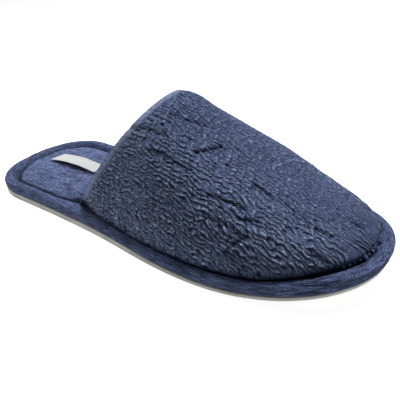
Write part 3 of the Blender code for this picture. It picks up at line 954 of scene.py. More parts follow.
@dataclass
class Outsole:
    """Thin rubber sole with slanted ribs on its edge and small bars underneath."""

    last: Last
    edge_round: float = 0.0006
    draft: float = 0.0006
    tread_depth: float = 0.0005
    tread_margin: float = 0.006
    bar_length: float = 0.0050
    bar_width: float = 0.0016
    bar_spacing: float = 0.0062
    bar_slant: float = 35.0
    under: float = 0.05
    rib_spacing: float = 0.0016
    rib_width: float = 0.0005
    rib_depth: float = 0.0004
    rib_height: float = 0.00186
    rib_slant: float = 32.0
    steps: int = 320

    def line(self, inset: float, height: Curve) -> Array:
        """Ring at a distance in from the sole's lower edge."""
        return self.last.ring(lambda x: self.last.outsole_inset(x) + inset, height, self.steps)

    def middle(self, from_heel: Array) -> Array:
        """Height halfway up the sole's edge."""
        return (self.last.ground(from_heel) + self.last.sole_top(from_heel)) / 2

    def build(self) -> Object:
        """Builds the sheet from its rounded lower edge up."""
        ground, edge, depth = self.last.ground, self.edge_round, self.tread_depth
        rings = np.stack([
            self.line(edge, lambda x: ground(x) + depth),
            self.line(0.3 * edge, lambda x: ground(x) + 0.6 * depth + 0.2 * edge),
            self.line(0.0, lambda x: ground(x) + 0.5 * depth + edge),
            self.line(-self.draft / 2, self.middle),
            self.line(-self.draft, self.last.sole_top)])
        shell = Shell()
        shell.tube(rings)
        return shell.finish("outsole_sheet", [RubberFinish().material()])

    def rib_tree(self, material: Material) -> Pattern:
        """Tree that sets slanted ribs along a line."""
        tree = Pattern("edge_ribs", {"Spacing": ("Float", 0.002), "Size": ("Vector", (1.0, 1.0, 1.0)),
                                     "Slant": ("Float", 0.0)})
        points, facing = tree.along_line()
        lean = tree.node("FunctionNodeAxisAngleToRotation", None,
                         {"Axis": (1.0, 0.0, 0.0), "Angle": tree.given("Slant")})
        turned = tree.node("FunctionNodeRotateRotation", {"rotation_space": "LOCAL"},
                           {"Rotation": facing, "Rotate By": lean.outputs[0]})
        block = tree.node("GeometryNodeMeshCube", None, {"Size": tree.given("Size")})
        tree.close(points, block, material, {"Rotation": turned.outputs[0]})
        return tree

    def ribs(self, material: Material) -> Object:
        """Slanted ribs around the sole's edge, just under its top."""
        middle = self.line(-self.draft / 2, self.middle)
        outward = middle - self.line(self.edge_round, self.middle)
        outward /= np.linalg.norm(outward, axis=1)[:, None]
        guide = guide_line("edge_line", middle, outward, closed=True)
        return self.rib_tree(material).run(guide, "outsole_edge_ribs", {
            "Spacing": self.rib_spacing, "Size": (self.rib_depth, self.rib_width, self.rib_height),
            "Slant": math.radians(self.rib_slant)})

    def bar_tree(self, material: Material) -> Pattern:
        """Tree that sets bars under a face, slanting to and fro by turns."""
        tree = Pattern("tread_bars", {
            "Length": ("Float", 0.3), "Width": ("Float", 0.12), "Columns": ("Int", 10),
            "Rows": ("Int", 10), "Bar": ("Vector", (1.0, 1.0, 1.0)), "Slant": ("Float", 0.0)})
        grid = tree.node("GeometryNodeMeshGrid", None, {
            "Size X": tree.given("Length"), "Size Y": tree.given("Width"),
            "Vertices X": tree.given("Columns"), "Vertices Y": tree.given("Rows")})
        low = tree.node("GeometryNodeTransform", None,
                        {"Geometry": grid.outputs[0], "Translation": (0.0, 0.0, -self.under)})
        ray = tree.node("GeometryNodeRaycast", {"data_type": "FLOAT"}, {
            "Target Geometry": tree.given("Geometry"), "Ray Direction": (0.0, 0.0, 1.0),
            "Ray Length": 4 * self.under})
        hit = ray.outputs["Is Hit"]
        missed = tree.node("FunctionNodeBooleanMath", {"operation": "NOT"}, {0: hit})
        noted = tree.node("GeometryNodeStoreNamedAttribute",
                          {"data_type": "BOOLEAN", "domain": "POINT"},
                          {"Geometry": low.outputs[0], "Name": "missed", "Value": missed.outputs[0]})
        moved = tree.node("GeometryNodeSetPosition", None, {
            "Geometry": noted.outputs[0], "Selection": hit, "Position": ray.outputs["Hit Position"]})
        kept = tree.node("GeometryNodeDeleteGeometry", {"domain": "POINT"},
                         {"Geometry": moved.outputs[0], "Selection": tree.stored("missed", "BOOLEAN")})
        number = Value(tree, tree.node("GeometryNodeInputIndex").outputs[0])
        angle = (number.math("MODULO", 2.0) * 2.0 - 1.0) * tree.given("Slant")
        turn = tree.node("FunctionNodeAxisAngleToRotation", None,
                         {"Axis": (0.0, 0.0, 1.0), "Angle": angle})
        block = tree.node("GeometryNodeMeshCube", None, {"Size": tree.given("Bar")})
        tree.close(kept.outputs[0], block, material, {"Rotation": turn.outputs[0]})
        return tree

    def tread(self, material: Material) -> Object:
        """Small slanted bars inside the sole's margin, their lower faces on the ground line."""
        shell = Shell()
        shell.cap(shell.add(self.line(self.tread_margin, self.last.ground)))
        underside = shell.finish("underside", []).data
        bpy.data.objects.remove(bpy.data.objects["underside"], do_unlink=True)
        length, width = self.last.length, 2 * Side.MEDIAL.value.ball
        made = self.bar_tree(material).run(underside, "outsole_tread", {
            "Length": length, "Width": width,
            "Columns": int(length / self.bar_spacing), "Rows": int(width / self.bar_spacing) | 1,
            "Bar": (self.bar_length, self.bar_width, 2 * self.tread_depth),
            "Slant": math.radians(self.bar_slant)})
        move_to(made.data, places_of(made.data) + (0.0, 0.0, self.tread_depth))
        return made

    def dress(self) -> None:
        """Builds the sole's pieces and hands them over."""
        sheet = self.build()
        rubber = sheet.data.materials[0]
        ride(sheet, "outsole_rubber", "outsole")
        ride(self.ribs(rubber), "outsole_rubber")
        ride(self.tread(rubber), "outsole_rubber")


RIM_SECTION = (
    (0.17, 0.00), (0.05, 0.14), (0.00, 0.40), (0.03, 0.66), (0.12, 0.86), (0.30, 0.98),
    (0.48, 1.00), (0.68, 0.93), (0.86, 0.76), (0.97, 0.54), (1.00, 0.36),
)


RIM_WRINKLES = Wrinkles(seed=11, length=15.0, width=2.3, sway=1.5, sway_size=(24.0, 9.0),
                        patch_size=(17.0, 6.0), patch_shift=40.0, patch_edge=(-0.35, 0.35),
                        fold_width=0.24)


@dataclass
class Rim:
    """Cloth-wrapped platform with its padded rim; spans over the cloth in mm."""

    last: Last
    steps: int = 440
    section_steps: int = 40
    wrinkle_rise: float = 0.00016
    wrinkle_depth: float = 0.000384
    wrinkle_shade: float = 0.55
    wrinkle_fade: Span = (0.5, 3.0)
    toe_wrinkle: float = 1.9
    toe_start: Span = (0.225, 0.262)
    toe_end: Span = (0.272, 0.287)
    seam_reach: Span = (0.5, 4.2)
    seam_shade: float = 0.15
    near_shade: float = 0.40
    near_side: Span = (0.004, 0.024)
    covered_shade: float = 0.85
    covered_from_heel: Span = (0.094, 0.104)

    def wrinkles(self, around: Array, over: Array, from_heel: Array) -> tuple[Array, Array]:
        """Soft lengthwise wrinkles of the rim's cloth.

        Args:
            around: Millimetres gone around the rim.
            over: Millimetres gone over its section.
            from_heel: Distance from the heel.

        Returns:
            The relief in metres, and the shade painted in the folds, by how deep in a fold each point
            lies.
        """
        ribs, depth = RIM_WRINKLES.at(around, over)
        at_toe = ramp(from_heel, *self.toe_start) * (1.0 - ramp(from_heel, *self.toe_end))
        depth = depth * (1.0 + (self.toe_wrinkle - 1.0) * at_toe)
        relief = self.wrinkle_rise * ribs - self.wrinkle_depth * depth
        return relief, np.clip(self.wrinkle_shade * depth, 0.0, 1.0)

    def build(self) -> Object:
        """Builds the rim's rings, their wrinkles and the deck."""
        last, side = self.last, self.section_steps // 3
        section = through(RIM_SECTION, self.section_steps)
        rings = np.stack([last.ring(lambda x, p=point: last.rim_width(x) * p[0],
                                    lambda x, p=point: last.rim_height(x, p[1]), self.steps)
                          for point in section])
        around = np.broadcast_to(travelled(rings[side]) / MM, rings.shape[:2])
        over = travelled(rings, axis=0) / MM
        joined = np.concatenate([rings[:, -2:], rings, rings[:, :2]], axis=1)
        normals = grid_normals(joined)[:, 2:-2]
        if (normals[side] * (rings[side] - rings[-1])).sum() < 0.0:
            normals = -normals
        from_heel = last.from_heel(rings)
        relief, depth = self.wrinkles(around, over, from_heel)
        inward = over.max(axis=0) - over
        fade = ramp(over, *self.wrinkle_fade) * ramp(inward, *self.wrinkle_fade)
        # Painted shade: the crease mark darkens the wrinkles' folds, and the cloth by the seam with the
        # upper, a little everywhere, more on the lateral side and most where the upper overhangs the rim.
        near = self.near_shade * ramp(-rings[..., 1], *self.near_side)
        covered = ramp(from_heel, *self.covered_from_heel)
        shade = self.seam_shade + near + (self.covered_shade - near) * covered
        seam = (1.0 - ramp(inward, *self.seam_reach)) * shade
        shell = Shell()
        shell.tube(rings + normals * (relief * fade)[..., None], np.stack([around, over], -1),
                   np.clip(depth * fade + seam, 0.0, 1.0))
        return shell.finish("padded_rim", [RIM_CLOTH.material()])

    def dress(self) -> None:
        """Builds the rim and hands it over."""
        rim = self.build()
        ride(rim, "rim_cloth", "midsole")


class Crease(NamedTuple):
    """A crease placed as listed: its ends from the heel and across, its width and depth."""

    start_from_heel: float
    start_y: float
    end_from_heel: float
    end_y: float
    width: float
    depth: float


def press_creases(points: Array, from_heel: Array, creases: Sequence[Crease]) -> Array:
    """Presses the placed creases into a surface.

    Args:
        points: The surface's points in the part's frame.
        from_heel: Their distances from the heel.
        creases: The creases, a negative depth making a ridge.

    Returns:
        How deep each point is pressed in, in metres.
    """
    flat = points.reshape(-1, 3)
    plan = np.column_stack([from_heel.reshape(-1), flat[:, 1]])
    pressed = np.zeros(len(flat))
    for crease in creases:
        first = np.array([crease.start_from_heel, crease.start_y])
        last = np.array([crease.end_from_heel, crease.end_y])
        stops = [flat[np.argmin(np.linalg.norm(plan - at, axis=1))]
                 for at in (first, (first + last) / 2, last)]
        near = np.full(len(flat), np.inf)
        for start, end in zip(stops, stops[1:]):
            way = end - start
            share = np.clip((flat - start) @ way / max(way @ way, TINY), 0.0, 1.0)
            near = np.minimum(near, np.linalg.norm(flat - start - share[:, None] * way, axis=1))
        pressed += crease.depth * fold(near, crease.width)
    return pressed.reshape(from_heel.shape)


INSOLE_CREASES = (
    Crease(0.033, -0.0225, 0.068, -0.0215, width=0.0012, depth=0.0004),
    Crease(0.023, -0.0245, 0.044, -0.0222, width=0.0011, depth=0.0003),
    Crease(0.067, -0.0160, 0.083, -0.0142, width=0.0010, depth=0.0005),
    Crease(0.065, -0.0288, 0.074, -0.0294, width=0.0009, depth=0.0005),
    Crease(0.067, -0.0360, 0.087, -0.0305, width=0.0012, depth=0.0004),
    Crease(0.045, -0.0290, 0.062, -0.0275, width=0.0010, depth=0.0004),
    Crease(0.070, 0.0120, 0.092, 0.0150, width=0.0013, depth=0.0003),
    Crease(0.030, 0.0180, 0.060, 0.0230, width=0.0014, depth=0.0003),
)


INSOLE_WRINKLES = Wrinkles(seed=21, length=10.0, width=2.6, sway=2.0, sway_size=(30.0, 14.0),
                           patch_size=(15.0, 8.0), patch_shift=30.0, patch_edge=(-0.2, 0.4),
                           fold_width=0.20)


@dataclass
class Insole:
    """Domed foam pad sunk inside the rim, swollen by a cloth simulation."""

    last: Last
    wall: float = 0.0030
    collar_seam_from_heel: float = 0.0950
    taper_length: float = 0.010
    taper_lead: float = 0.002
    deck_rise: float = 0.36
    shoulder_rise: float = 0.72
    crown: float = 0.0038
    dome_power: float = 5.5
    end_power: float = 12
    edge_round: float = 0.0022
    slack: float = 0.0008
    swell: float = 0.0011
    voxel: float = 0.0025
    sunk: float = 0.0030
    pressure: float = 4.0
    sideways: float = 0.2
    free_height: float = 0.004
    frames: int = 20
    steps: int = 120
    across_steps: int = 24
    wrinkle_rise: float = 0.00044
    wrinkle_depth: float = 0.00055
    wrinkle_shade: float = 0.8
    crease_shade: float = 0.0006
    upward: Span = (0.2, 0.7)
    fold_upward: Span = (0.3, 0.8)
    roll_width: float = 0.0024
    roll_height: float = 0.0020
    roll_depth: float = 0.0026
    # Reach of the shade painted into the groove along the pad's edge, and the share of it kept on the
    # medial side.
    groove: Span = (0.00144, 0.0036)
    far_groove_shade: float = 0.2
    near_side: Span = (0.004, 0.024)

    def inset(self, from_heel: Array) -> Array:
        """Edge of the pad: beside the rim at the heel, inside the upper in front."""
        start = self.collar_seam_from_heel - self.taper_lead - self.taper_length
        behind = (self.wall + 2 * self.last.clearance) * ramp(from_heel, start, start + self.taper_length)
        return self.last.rim_width(from_heel) + self.last.clearance + behind

    def bottom(self, from_heel: Array) -> Array:
        """Underside of the pad, on the deck."""
        return self.last.rim_height(from_heel, self.deck_rise) + self.last.clearance

    def shoulder(self, from_heel: Array) -> Array:
        """Height of the pad's top face at its edge, before it swells."""
        return self.last.rim_height(from_heel, self.shoulder_rise) - self.slack

    def height(self, from_heel: Array, across: Array) -> Array:
        """Domed top of the pad; across runs from -1 lateral to 1 medial."""
        share = np.clip(from_heel / self.last.length, 0.0, 1.0)
        ends = 1.0 - np.abs(2.0 * share - 1.0) ** self.end_power
        dome = (1.0 - np.abs(across) ** self.dome_power) * ends
        return self.shoulder(from_heel) + self.crown * dome

    def line(self, inset: float, height: Curve) -> Array:
        """Ring at a distance in from the pad's edge."""
        return self.last.ring(lambda x: self.inset(x) + inset, height, self.steps)

    def blank(self) -> Object:
        """The pad before it swells: its sides, its underside and its domed top."""
        corner, end = self.edge_round * 0.3, self.steps
        rings = np.stack([
            self.line(corner, lambda x: self.bottom(x) - self.sunk),
            self.line(0.0, lambda x: self.bottom(x) - self.sunk + corner),
            self.line(0.0, lambda x: self.shoulder(x) - self.edge_round),
            self.line(corner, lambda x: self.shoulder(x) - corner),
            self.line(self.edge_round, self.shoulder)])
        shell = Shell()
        numbers = shell.add(rings)
        shell.quads(numbers, closed=True)
        shell.cap(numbers[0])
        rim = rings[-1]
        lateral = rim[:end + 1]
        medial = np.concatenate([rim[:1], rim[:end:-1], rim[end:end + 1]])
        shares = np.sin(np.linspace(-1.0, 1.0, self.across_steps + 1) * np.pi / 2)
        way = ((shares + 1.0) / 2.0)[None, :, None]
        rungs = lateral[:, None] + (medial - lateral)[:, None] * way
        inner = rungs[:, 1:-1]
        inner[..., 2] = self.height(self.last.from_heel(inner), shares[None, 1:-1])
        shell.quads(shell.add(rungs))
        return shell.finish("insole_blank", [])

    def swollen(self, blank: Object) -> Object:
        """Remeshes the blank and lets a cloth simulation swell its top."""
        remesh = blank.modifiers.new("remesh", "REMESH")
        remesh.mode = "VOXEL"
        remesh.voxel_size = self.voxel
        pad = plain_copy(blank, "insole_base")
        rest = places_of(pad.data)
        cloth = pad.modifiers.new("cloth", "CLOTH")
        cloth.settings.use_pressure = True
        cloth.settings.uniform_pressure_force = self.pressure
        cloth.settings.effector_weights.gravity = 0.0
        cloth.point_cache.frame_start = 1
        cloth.point_cache.frame_end = self.frames
        for number in range(1, self.frames + 1):
            bpy.context.scene.frame_set(number)
        pad = plain_copy(pad, "insole_base")
        bpy.context.scene.frame_set(1)
        moved = places_of(pad.data) - rest
        size = np.linalg.norm(moved, axis=1, keepdims=True)
        moved *= np.minimum(1.0, self.swell / np.maximum(size, TINY))
        deck = self.bottom(self.last.from_heel(rest)) + self.last.clearance
        moved[:, :2] *= self.sideways
        moved[:, 2] = np.maximum(moved[:, 2], 0.0) * ramp(rest[:, 2] - deck, 0.0, self.free_height)
        move_to(pad.data, rest + moved)
        return pad

    def settle(self, pad: Object) -> None:
        """Presses the pad's underside flat on the deck."""
        places = places_of(pad.data)
        places[:, 2] = np.maximum(places[:, 2], self.bottom(self.last.from_heel(places)))
        move_to(pad.data, places)

    def from_edge(self, places: Array) -> Array:
        """Distance of each point in from the pad's edge, seen from above."""
        edge = self.last.ring(self.inset, self.bottom, 3 * self.steps)
        tree = KDTree(len(edge))
        for number, point in enumerate(edge):
            tree.insert((point[0], point[1], 0.0), number)
        tree.balance()
        return np.array([tree.find((x, y, 0.0))[2] for x, y in places[:, :2]])

    def build(self) -> Object:
        """Swells the pad, refines it, presses its wrinkles in and paints shade into its folds, creases
        and the groove at its edge.
        """
        pad = self.swollen(self.blank())
        self.settle(pad)
        finer = pad.modifiers.new("finer", "SUBSURF")
        finer.levels = finer.render_levels = 2
        pad = plain_copy(pad, "insole_pad")
        places, normals = places_of(pad.data), places_of(pad.data, "normal")
        from_heel = self.last.from_heel(places)
        streaks, depth = INSOLE_WRINKLES.at(places[:, 0] / MM, places[:, 1] / MM)
        depth = depth * ramp(normals[:, 2], *self.fold_upward)
        placed = press_creases(places, from_heel, INSOLE_CREASES)
        upward = ramp(normals[:, 2], *self.upward)
        relief = (self.wrinkle_rise * streaks - self.wrinkle_depth * depth - placed) * upward
        inward = self.from_edge(places)
        above = places[:, 2] - self.bottom(from_heel)
        roll = (1.0 - ramp(inward, 0.0, self.roll_width)) * ramp(above, 0.0, self.roll_height)
        # Painted shade: darker in the wrinkles' folds, the placed creases and the groove along the pad's
        # edge, in full on the lateral side and in part on the medial side.
        near = self.far_groove_shade + (1.0 - self.far_groove_shade) * ramp(-places[:, 1], *self.near_side)
        dark = near * (1.0 - ramp(inward, *self.groove))
        moved = places + normals * relief[:, None]
        moved[:, 2] -= self.roll_depth * roll
        move_to(pad.data, moved)
        creased = self.wrinkle_shade * depth * upward + placed / self.crease_shade + dark
        store(pad.data, "crease", np.clip(creased, 0.0, 1.0))
        store(pad.data, "weave", places / MM)
        pad.data.materials.clear()
        pad.data.materials.append(INSOLE_CLOTH.material())
        pad.data.shade_smooth()
        return pad

    def dress(self) -> Object:
        """Builds the pad, hands it over and returns it for the label to lie on."""
        pad = self.build()
        ride(pad, "insole_cloth", "insole")
        return pad


class UpperRow(NamedTuple):
    """Upper at a distance from the heel: roundness, and shares of crown, ridge shift and bulge."""

    at: float
    crown: float
    roundness: float
    ridge: float
    bulge: float


FOOT_SECTION = ((0.00, 0.36), (0.00, 0.54), (0.15, 0.78),
                (0.50, 1.00), (0.85, 1.14), (1.00, 1.34))

UPPER_CREASES = (
    Crease(0.187, -0.0272, 0.196, -0.0160, width=0.0011, depth=0.0011),
    Crease(0.202, -0.0385, 0.222, -0.0346, width=0.0012, depth=0.0010),
    Crease(0.205, -0.0448, 0.224, -0.0431, width=0.0011, depth=0.0009),
    Crease(0.221, -0.0218, 0.232, -0.0209, width=0.0011, depth=0.0009),
    Crease(0.222, -0.0388, 0.230, -0.0352, width=0.0011, depth=0.0010),
    Crease(0.222, -0.0469, 0.228, -0.0422, width=0.0012, depth=0.0010),
    Crease(0.218, -0.0494, 0.230, -0.0484, width=0.0010, depth=0.0008),
    Crease(0.255, -0.0190, 0.262, -0.0165, width=0.0012, depth=0.0011),
    Crease(0.258, -0.0300, 0.266, -0.0290, width=0.0013, depth=0.0011),
    Crease(0.266, 0.0010, 0.274, 0.0032, width=0.0011, depth=0.0010),
    Crease(0.143, -0.0310, 0.168, -0.0296, width=0.0016, depth=0.0006),
    Crease(0.162, -0.0366, 0.188, -0.0353, width=0.0016, depth=0.0006),
    Crease(0.165, -0.0204, 0.183, -0.0112, width=0.0013, depth=0.0007),
    Crease(0.234, -0.0189, 0.251, -0.0178, width=0.0016, depth=0.0006),
    Crease(0.180, 0.0250, 0.205, 0.0280, width=0.0014, depth=0.0008),
    Crease(0.215, 0.0330, 0.238, 0.0350, width=0.0014, depth=0.0009),
)

RIBS = Folds(seed=31, spacing=2.5, sway=2.2, jitter=0.8, stroke=7.0,
             depth=0.00070, lift=0.00050, valley=0.38, lip=0.36)
RAYS = Folds(seed=41, spacing=2.8, sway=2.6, jitter=1.2, stroke=8.0, depth=0.00076, lift=0.00056)
CROSS = Folds(seed=51, spacing=5.4, sway=2.5, jitter=1.4, stroke=4.5, depth=0.00040, lift=0.00046)
SLANT = Folds(seed=61, spacing=5.0, sway=2.5, jitter=1.4, stroke=5.0, depth=0.00040, lift=0.00046)


@dataclass
class Upper:
    """Padded vamp of crinkled cotton, hollow and open at the collar and underneath.

    Lengths that are compared with millimetres over the cloth are in mm, the others in metres.
    """

    last: Last
    wall: float = 0.0030
    crown_height: float = 0.0769
    ridge_shift: float = 0.0019
    side_bulge: float = 0.0037
    bulge_ramp: float = 0.030
    collar_seam: float = 0.0950
    collar_side: float = 0.0995
    collar_peak: float = 0.1568
    collar_lip: float = 0.0013
    collar_sweep: float = 0.06
    collar_sweep_power: float = 6
    toe_cap_length: float = 0.0675
    toe_cap_power: float = 1.68
    band_width: float = 3.4
    girth_mm: float = 205.0
    fan_from_heel: float = 0.080
    fan_y: float = 0.002
    fan_radius: float = 185.0
    columns: int = 264
    arch_steps: int = 304
    foot_steps: int = 12
    coarse: int = 4
    collar_back: int = 3
    collar_steps: int = 7
    lip_shift: float = 0.84
    puff_depth: float = 0.00014
    puff_size: Span = (9.0, 7.0)
    gather_depth: float = 0.00050
    gather_size: Span = (30.0, 2.3)
    gather_inside: Span = (-5.0, -1.0)
    gather_outside: Span = (1.0, 9.0)
    low_side: Span = (20.0, 52.0)
    low_waver: float = 0.6
    toe_from_heel: Span = (0.262, 0.278)
    ribs_fade: Span = (0.190, 0.235)
    ribs_fade_share: float = 0.20
    net_fade: Span = (0.225, 0.262)
    net_fade_share: float = 0.3
    cross_high: float = 0.50
    cross_low: float = 0.25
    slant_high: float = 0.30
    slant_low: float = 0.60
    slant_lean: Span = (0.8, 0.7)
    gathers_from_heel: Span = (0.258, 0.276)
    band_edge: float = 1.4
    band_calm: float = 0.90
    # Strength of the highlight painted on the collar's band.
    band_light: float = 0.40
    foot_calm: float = 0.30
    foot_edge: Span = (-3.0, 2.0)
    tip_fade: Span = (0.5, 4.0)
    # Reach of the shade painted where the foot tucks into the seam.
    tuck: Span = (-2.5, 3.5)
    lip_from: Span = (-1.0, 5.0)
    lip_gain: float = 1.1
    lip_cut: float = 0.8
    groove_gap: float = 0.5
    groove_depth: float = 0.00020
    groove_width: float = 0.6
    groove_shade: float = 0.25
    crease_shade: float = 0.0016
    valley_shade: float = 0.95
    rows: tuple[UpperRow, ...] = (
        UpperRow(at=0.0870, crown=1.000, roundness=1.78, ridge=0.0, bulge=1.0),
        UpperRow(at=0.1595, crown=1.000, roundness=1.85, ridge=0.2, bulge=1.0),
        UpperRow(at=0.1740, crown=0.897, roundness=1.92, ridge=0.6, bulge=1.0),
        UpperRow(at=0.2030, crown=0.703, roundness=1.96, ridge=1.0, bulge=1.0),
        UpperRow(at=0.2320, crown=0.518, roundness=1.96, ridge=1.0, bulge=1.0),
        UpperRow(at=0.2552, crown=0.368, roundness=1.90, ridge=1.0, bulge=0.9),
        UpperRow(at=0.2900, crown=0.180, roundness=1.85, ridge=1.0, bulge=0.5),
    )

    def side_line(self, side: Side, outward: float, inner: float) -> Array:
        """Line of the foot of the upper at a share of the bulge, seen from above."""
        last = self.last

        def inset(from_heel: Array) -> Array:
            """Distance in from the rim's outer line."""
            rise = ramp(from_heel, self.collar_seam, self.collar_seam + self.bulge_ramp)
            bulge = self.side_bulge * rise * column(self.rows, "bulge", from_heel)
            return last.rim_width(from_heel) + last.clearance - bulge * outward + inner

        return last.inset_line(side, inset)

    def collar(self, angle: float) -> float:
        """Collar line over the arch, as a distance from the heel."""
        rise = math.sin(angle)
        share = (1.0 - self.collar_sweep) * rise + self.collar_sweep * rise**self.collar_sweep_power
        return self.collar_side + (self.collar_peak - self.collar_side) * share

    def foot_lines(self, side: Side, shares: Array, inner: float) -> Array:
        """Lines in the seam and over the rim, from the deck up, without the arch's first."""
        low, top = FOOT_SECTION[0][1], FOOT_SECTION[-1][1]
        lines = []
        for outward, rise in through(FOOT_SECTION, self.foot_steps + 1)[:-1]:
            share = (rise - low) / (top - low)
            start = self.collar_seam + (self.collar_side - self.collar_seam) * share
            line = self.side_line(side, outward, inner)
            along = start + (line[-1, 0] - start) * shares
            across = np.interp(along, line[:, 0], line[:, 1])
            lifted = self.last.clearance * (1.0 - ramp(rise, low, FOOT_SECTION[1][1]))
            lines.append(np.column_stack([along, across, self.last.rim_height(along, rise) + lifted]))
        return np.array(lines)

    def arch_lines(self, angles: Array, shares: Array, inner: float) -> Array:
        """Lines of the arched vamp, at angles from 0 lateral to pi medial."""
        outward, rise = FOOT_SECTION[-1]
        edges = [self.side_line(side, outward, inner) for side in Side]
        tip = edges[0][-1, 0]
        lines = []
        for angle in angles:
            start = self.collar(angle)
            along = start + (tip - start) * shares
            lateral, medial = [np.interp(along, edge[:, 0], edge[:, 1]) for edge in edges]
            cap = quarter(1.0 - (tip - along) / self.toe_cap_length, self.toe_cap_power)
            crown = (self.crown_height * column(self.rows, "crown", along) - inner) * cap
            power = 2.0 / column(self.rows, "roundness", along)
            ridge = self.ridge_shift * column(self.rows, "ridge", along) * cap
            middle = (lateral + medial) / 2 + ridge
            reach = lateral if math.cos(angle) >= 0.0 else medial
            y = middle + (reach - middle) * abs(math.cos(angle)) ** power
            z = self.last.rim_height(along, rise) + crown * max(math.sin(angle), 0.0) ** power
            lines.append(np.column_stack([along, y, z]))
        return np.array(lines)

    def surface(self, angles: Array, shares: Array, inner: float) -> Array:
        """Grid of the upper from the lateral deck over the crown to the medial deck."""
        lateral, medial = [self.foot_lines(side, shares, inner) for side in Side]
        grid = np.concatenate([lateral, self.arch_lines(angles, shares, inner), medial[::-1]])
        return self.last.placed(grid)

    def spread(self) -> tuple[Array, Array]:
        """Angles and shares of the way to the toe that give an even grid."""
        fine = np.sin(np.pi / 2 * np.linspace(0.0, 1.0, 600))
        shares = evened(self.arch_lines(np.pi * np.array([0.1, 0.25, 0.4, 0.5, 0.75]), fine, 0.0),
                        fine, self.columns)
        turns = np.linspace(0.0, np.pi, 900)
        sections = self.arch_lines(turns, np.array([0.1, 0.3, 0.5, 0.7]), 0.0)
        angles = evened(sections.transpose(1, 0, 2), turns, self.arch_steps)
        return angles, shares

    def relief(self, points: Array) -> tuple[Array, Array, Array]:
        """Crinkles, placed creases and toe gathers of the cloth.

        Args:
            points: The smooth outer grid.

        Returns:
            The relief in metres, how deep in a fold each point lies, painted as shade, and how far up on
            a lip, painted as a highlight.
        """
        from_heel = self.last.from_heel(points)
        along = travelled(points, axis=1) / MM
        to_tip = along[:, -1:] - along
        girth = travelled(points, axis=0) / MM
        rows, foot = len(points), self.foot_steps
        around = girth - girth[rows // 2] + self.girth_mm / 2
        above = np.minimum(girth - girth[foot], girth[rows - 1 - foot] - girth)
        rise = self.lip_shift * np.cos(np.linspace(0.0, np.pi, rows))[:, None]
        forward, aside = from_heel - self.fan_from_heel, points[..., 1] - self.fan_y
        spoke = np.arctan2(aside, forward) * self.fan_radius
        reach = np.hypot(aside, forward) / MM

        low = 1.0 - ramp(above, *self.low_side)
        wild = 1.0 + self.low_waver * low
        toe = ramp(from_heel, *self.toe_from_heel)
        rib_share = (1.0 - toe) * (1.0 - self.ribs_fade_share * ramp(from_heel, *self.ribs_fade))
        net = (1.0 - toe) * (1.0 - self.net_fade_share * ramp(from_heel, *self.net_fade))
        lean, cant = self.slant_lean
        layers = (
            (RIBS, to_tip, around, rise, wild, rib_share),
            (RAYS, reach, spoke, rise, 1.0, toe),
            (CROSS, around, to_tip, self.lip_shift, wild,
             (self.cross_high + self.cross_low * low) * net),
            (SLANT, around + lean * to_tip, to_tip - cant * around, -self.lip_shift, 1.0,
             (self.slant_high + self.slant_low * low) * net),
        )
        puffs = Crumple(38).at(to_tip / self.puff_size[0], around / self.puff_size[1])
        height = self.puff_depth * puffs
        valleys, lips = np.zeros_like(height), np.zeros_like(height)
        for folds, u, v, side, waver, share in layers:
            valley, lip = folds.at(u, v, side, waver)
            height += share * (folds.lift * lip - folds.depth * valley)
            valleys += share * valley
            lips += share * lip
        seam = (1.0 - ramp(above, *self.gather_outside)) * ramp(above, *self.gather_inside)
        gathers = Crumple(39).at(reach / self.gather_size[0], spoke / self.gather_size[1]) * seam
        height += self.gather_depth * gathers * ramp(from_heel, *self.gathers_from_heel)

        band = 1.0 - ramp(along, self.band_width, self.band_width + self.band_edge)
        calm = self.foot_calm + (1.0 - self.foot_calm) * ramp(above, *self.foot_edge)
        calm = calm * (1.0 - self.band_calm * band) * ramp(to_tip, *self.tip_fade)
        groove = fold(along - self.band_width - self.groove_gap, self.groove_width)
        placed = press_creases(points, from_heel, UPPER_CREASES)
        # Painted shade: fold valleys, the placed creases, the collar's groove and the foot where it tucks
        # into the seam are darkened. Painted highlight: fold lips and the collar's band are lightened.
        tuck_shade = 1.0 - ramp(above, *self.tuck)
        lips = np.clip(self.lip_gain * lips - self.lip_cut * valleys, 0.0, 1.0)
        lips *= calm * ramp(above, *self.lip_from)
        lips = np.maximum(lips, self.band_light * band)
        depth = (self.valley_shade * (valleys * calm + tuck_shade) + placed / self.crease_shade
                 + self.groove_shade * groove)
        height = height * calm - placed - self.groove_depth * groove
        return height, np.clip(depth, 0.0, 1.0), lips

    def build(self) -> Object:
        """Builds the outer cloth, the rolled collar, the lining and the turned-in foot."""
        angles, shares = self.spread()
        smooth = self.surface(angles, shares, 0.0)
        lining = self.surface(angles, shares, self.wall)
        normals = grid_normals(smooth)
        if normals[len(smooth) // 2, :, 2].sum() < 0.0:
            normals = -normals
        relief, depth, lips = self.relief(smooth)
        outer = smooth + normals * relief[..., None]
        self.outer = outer

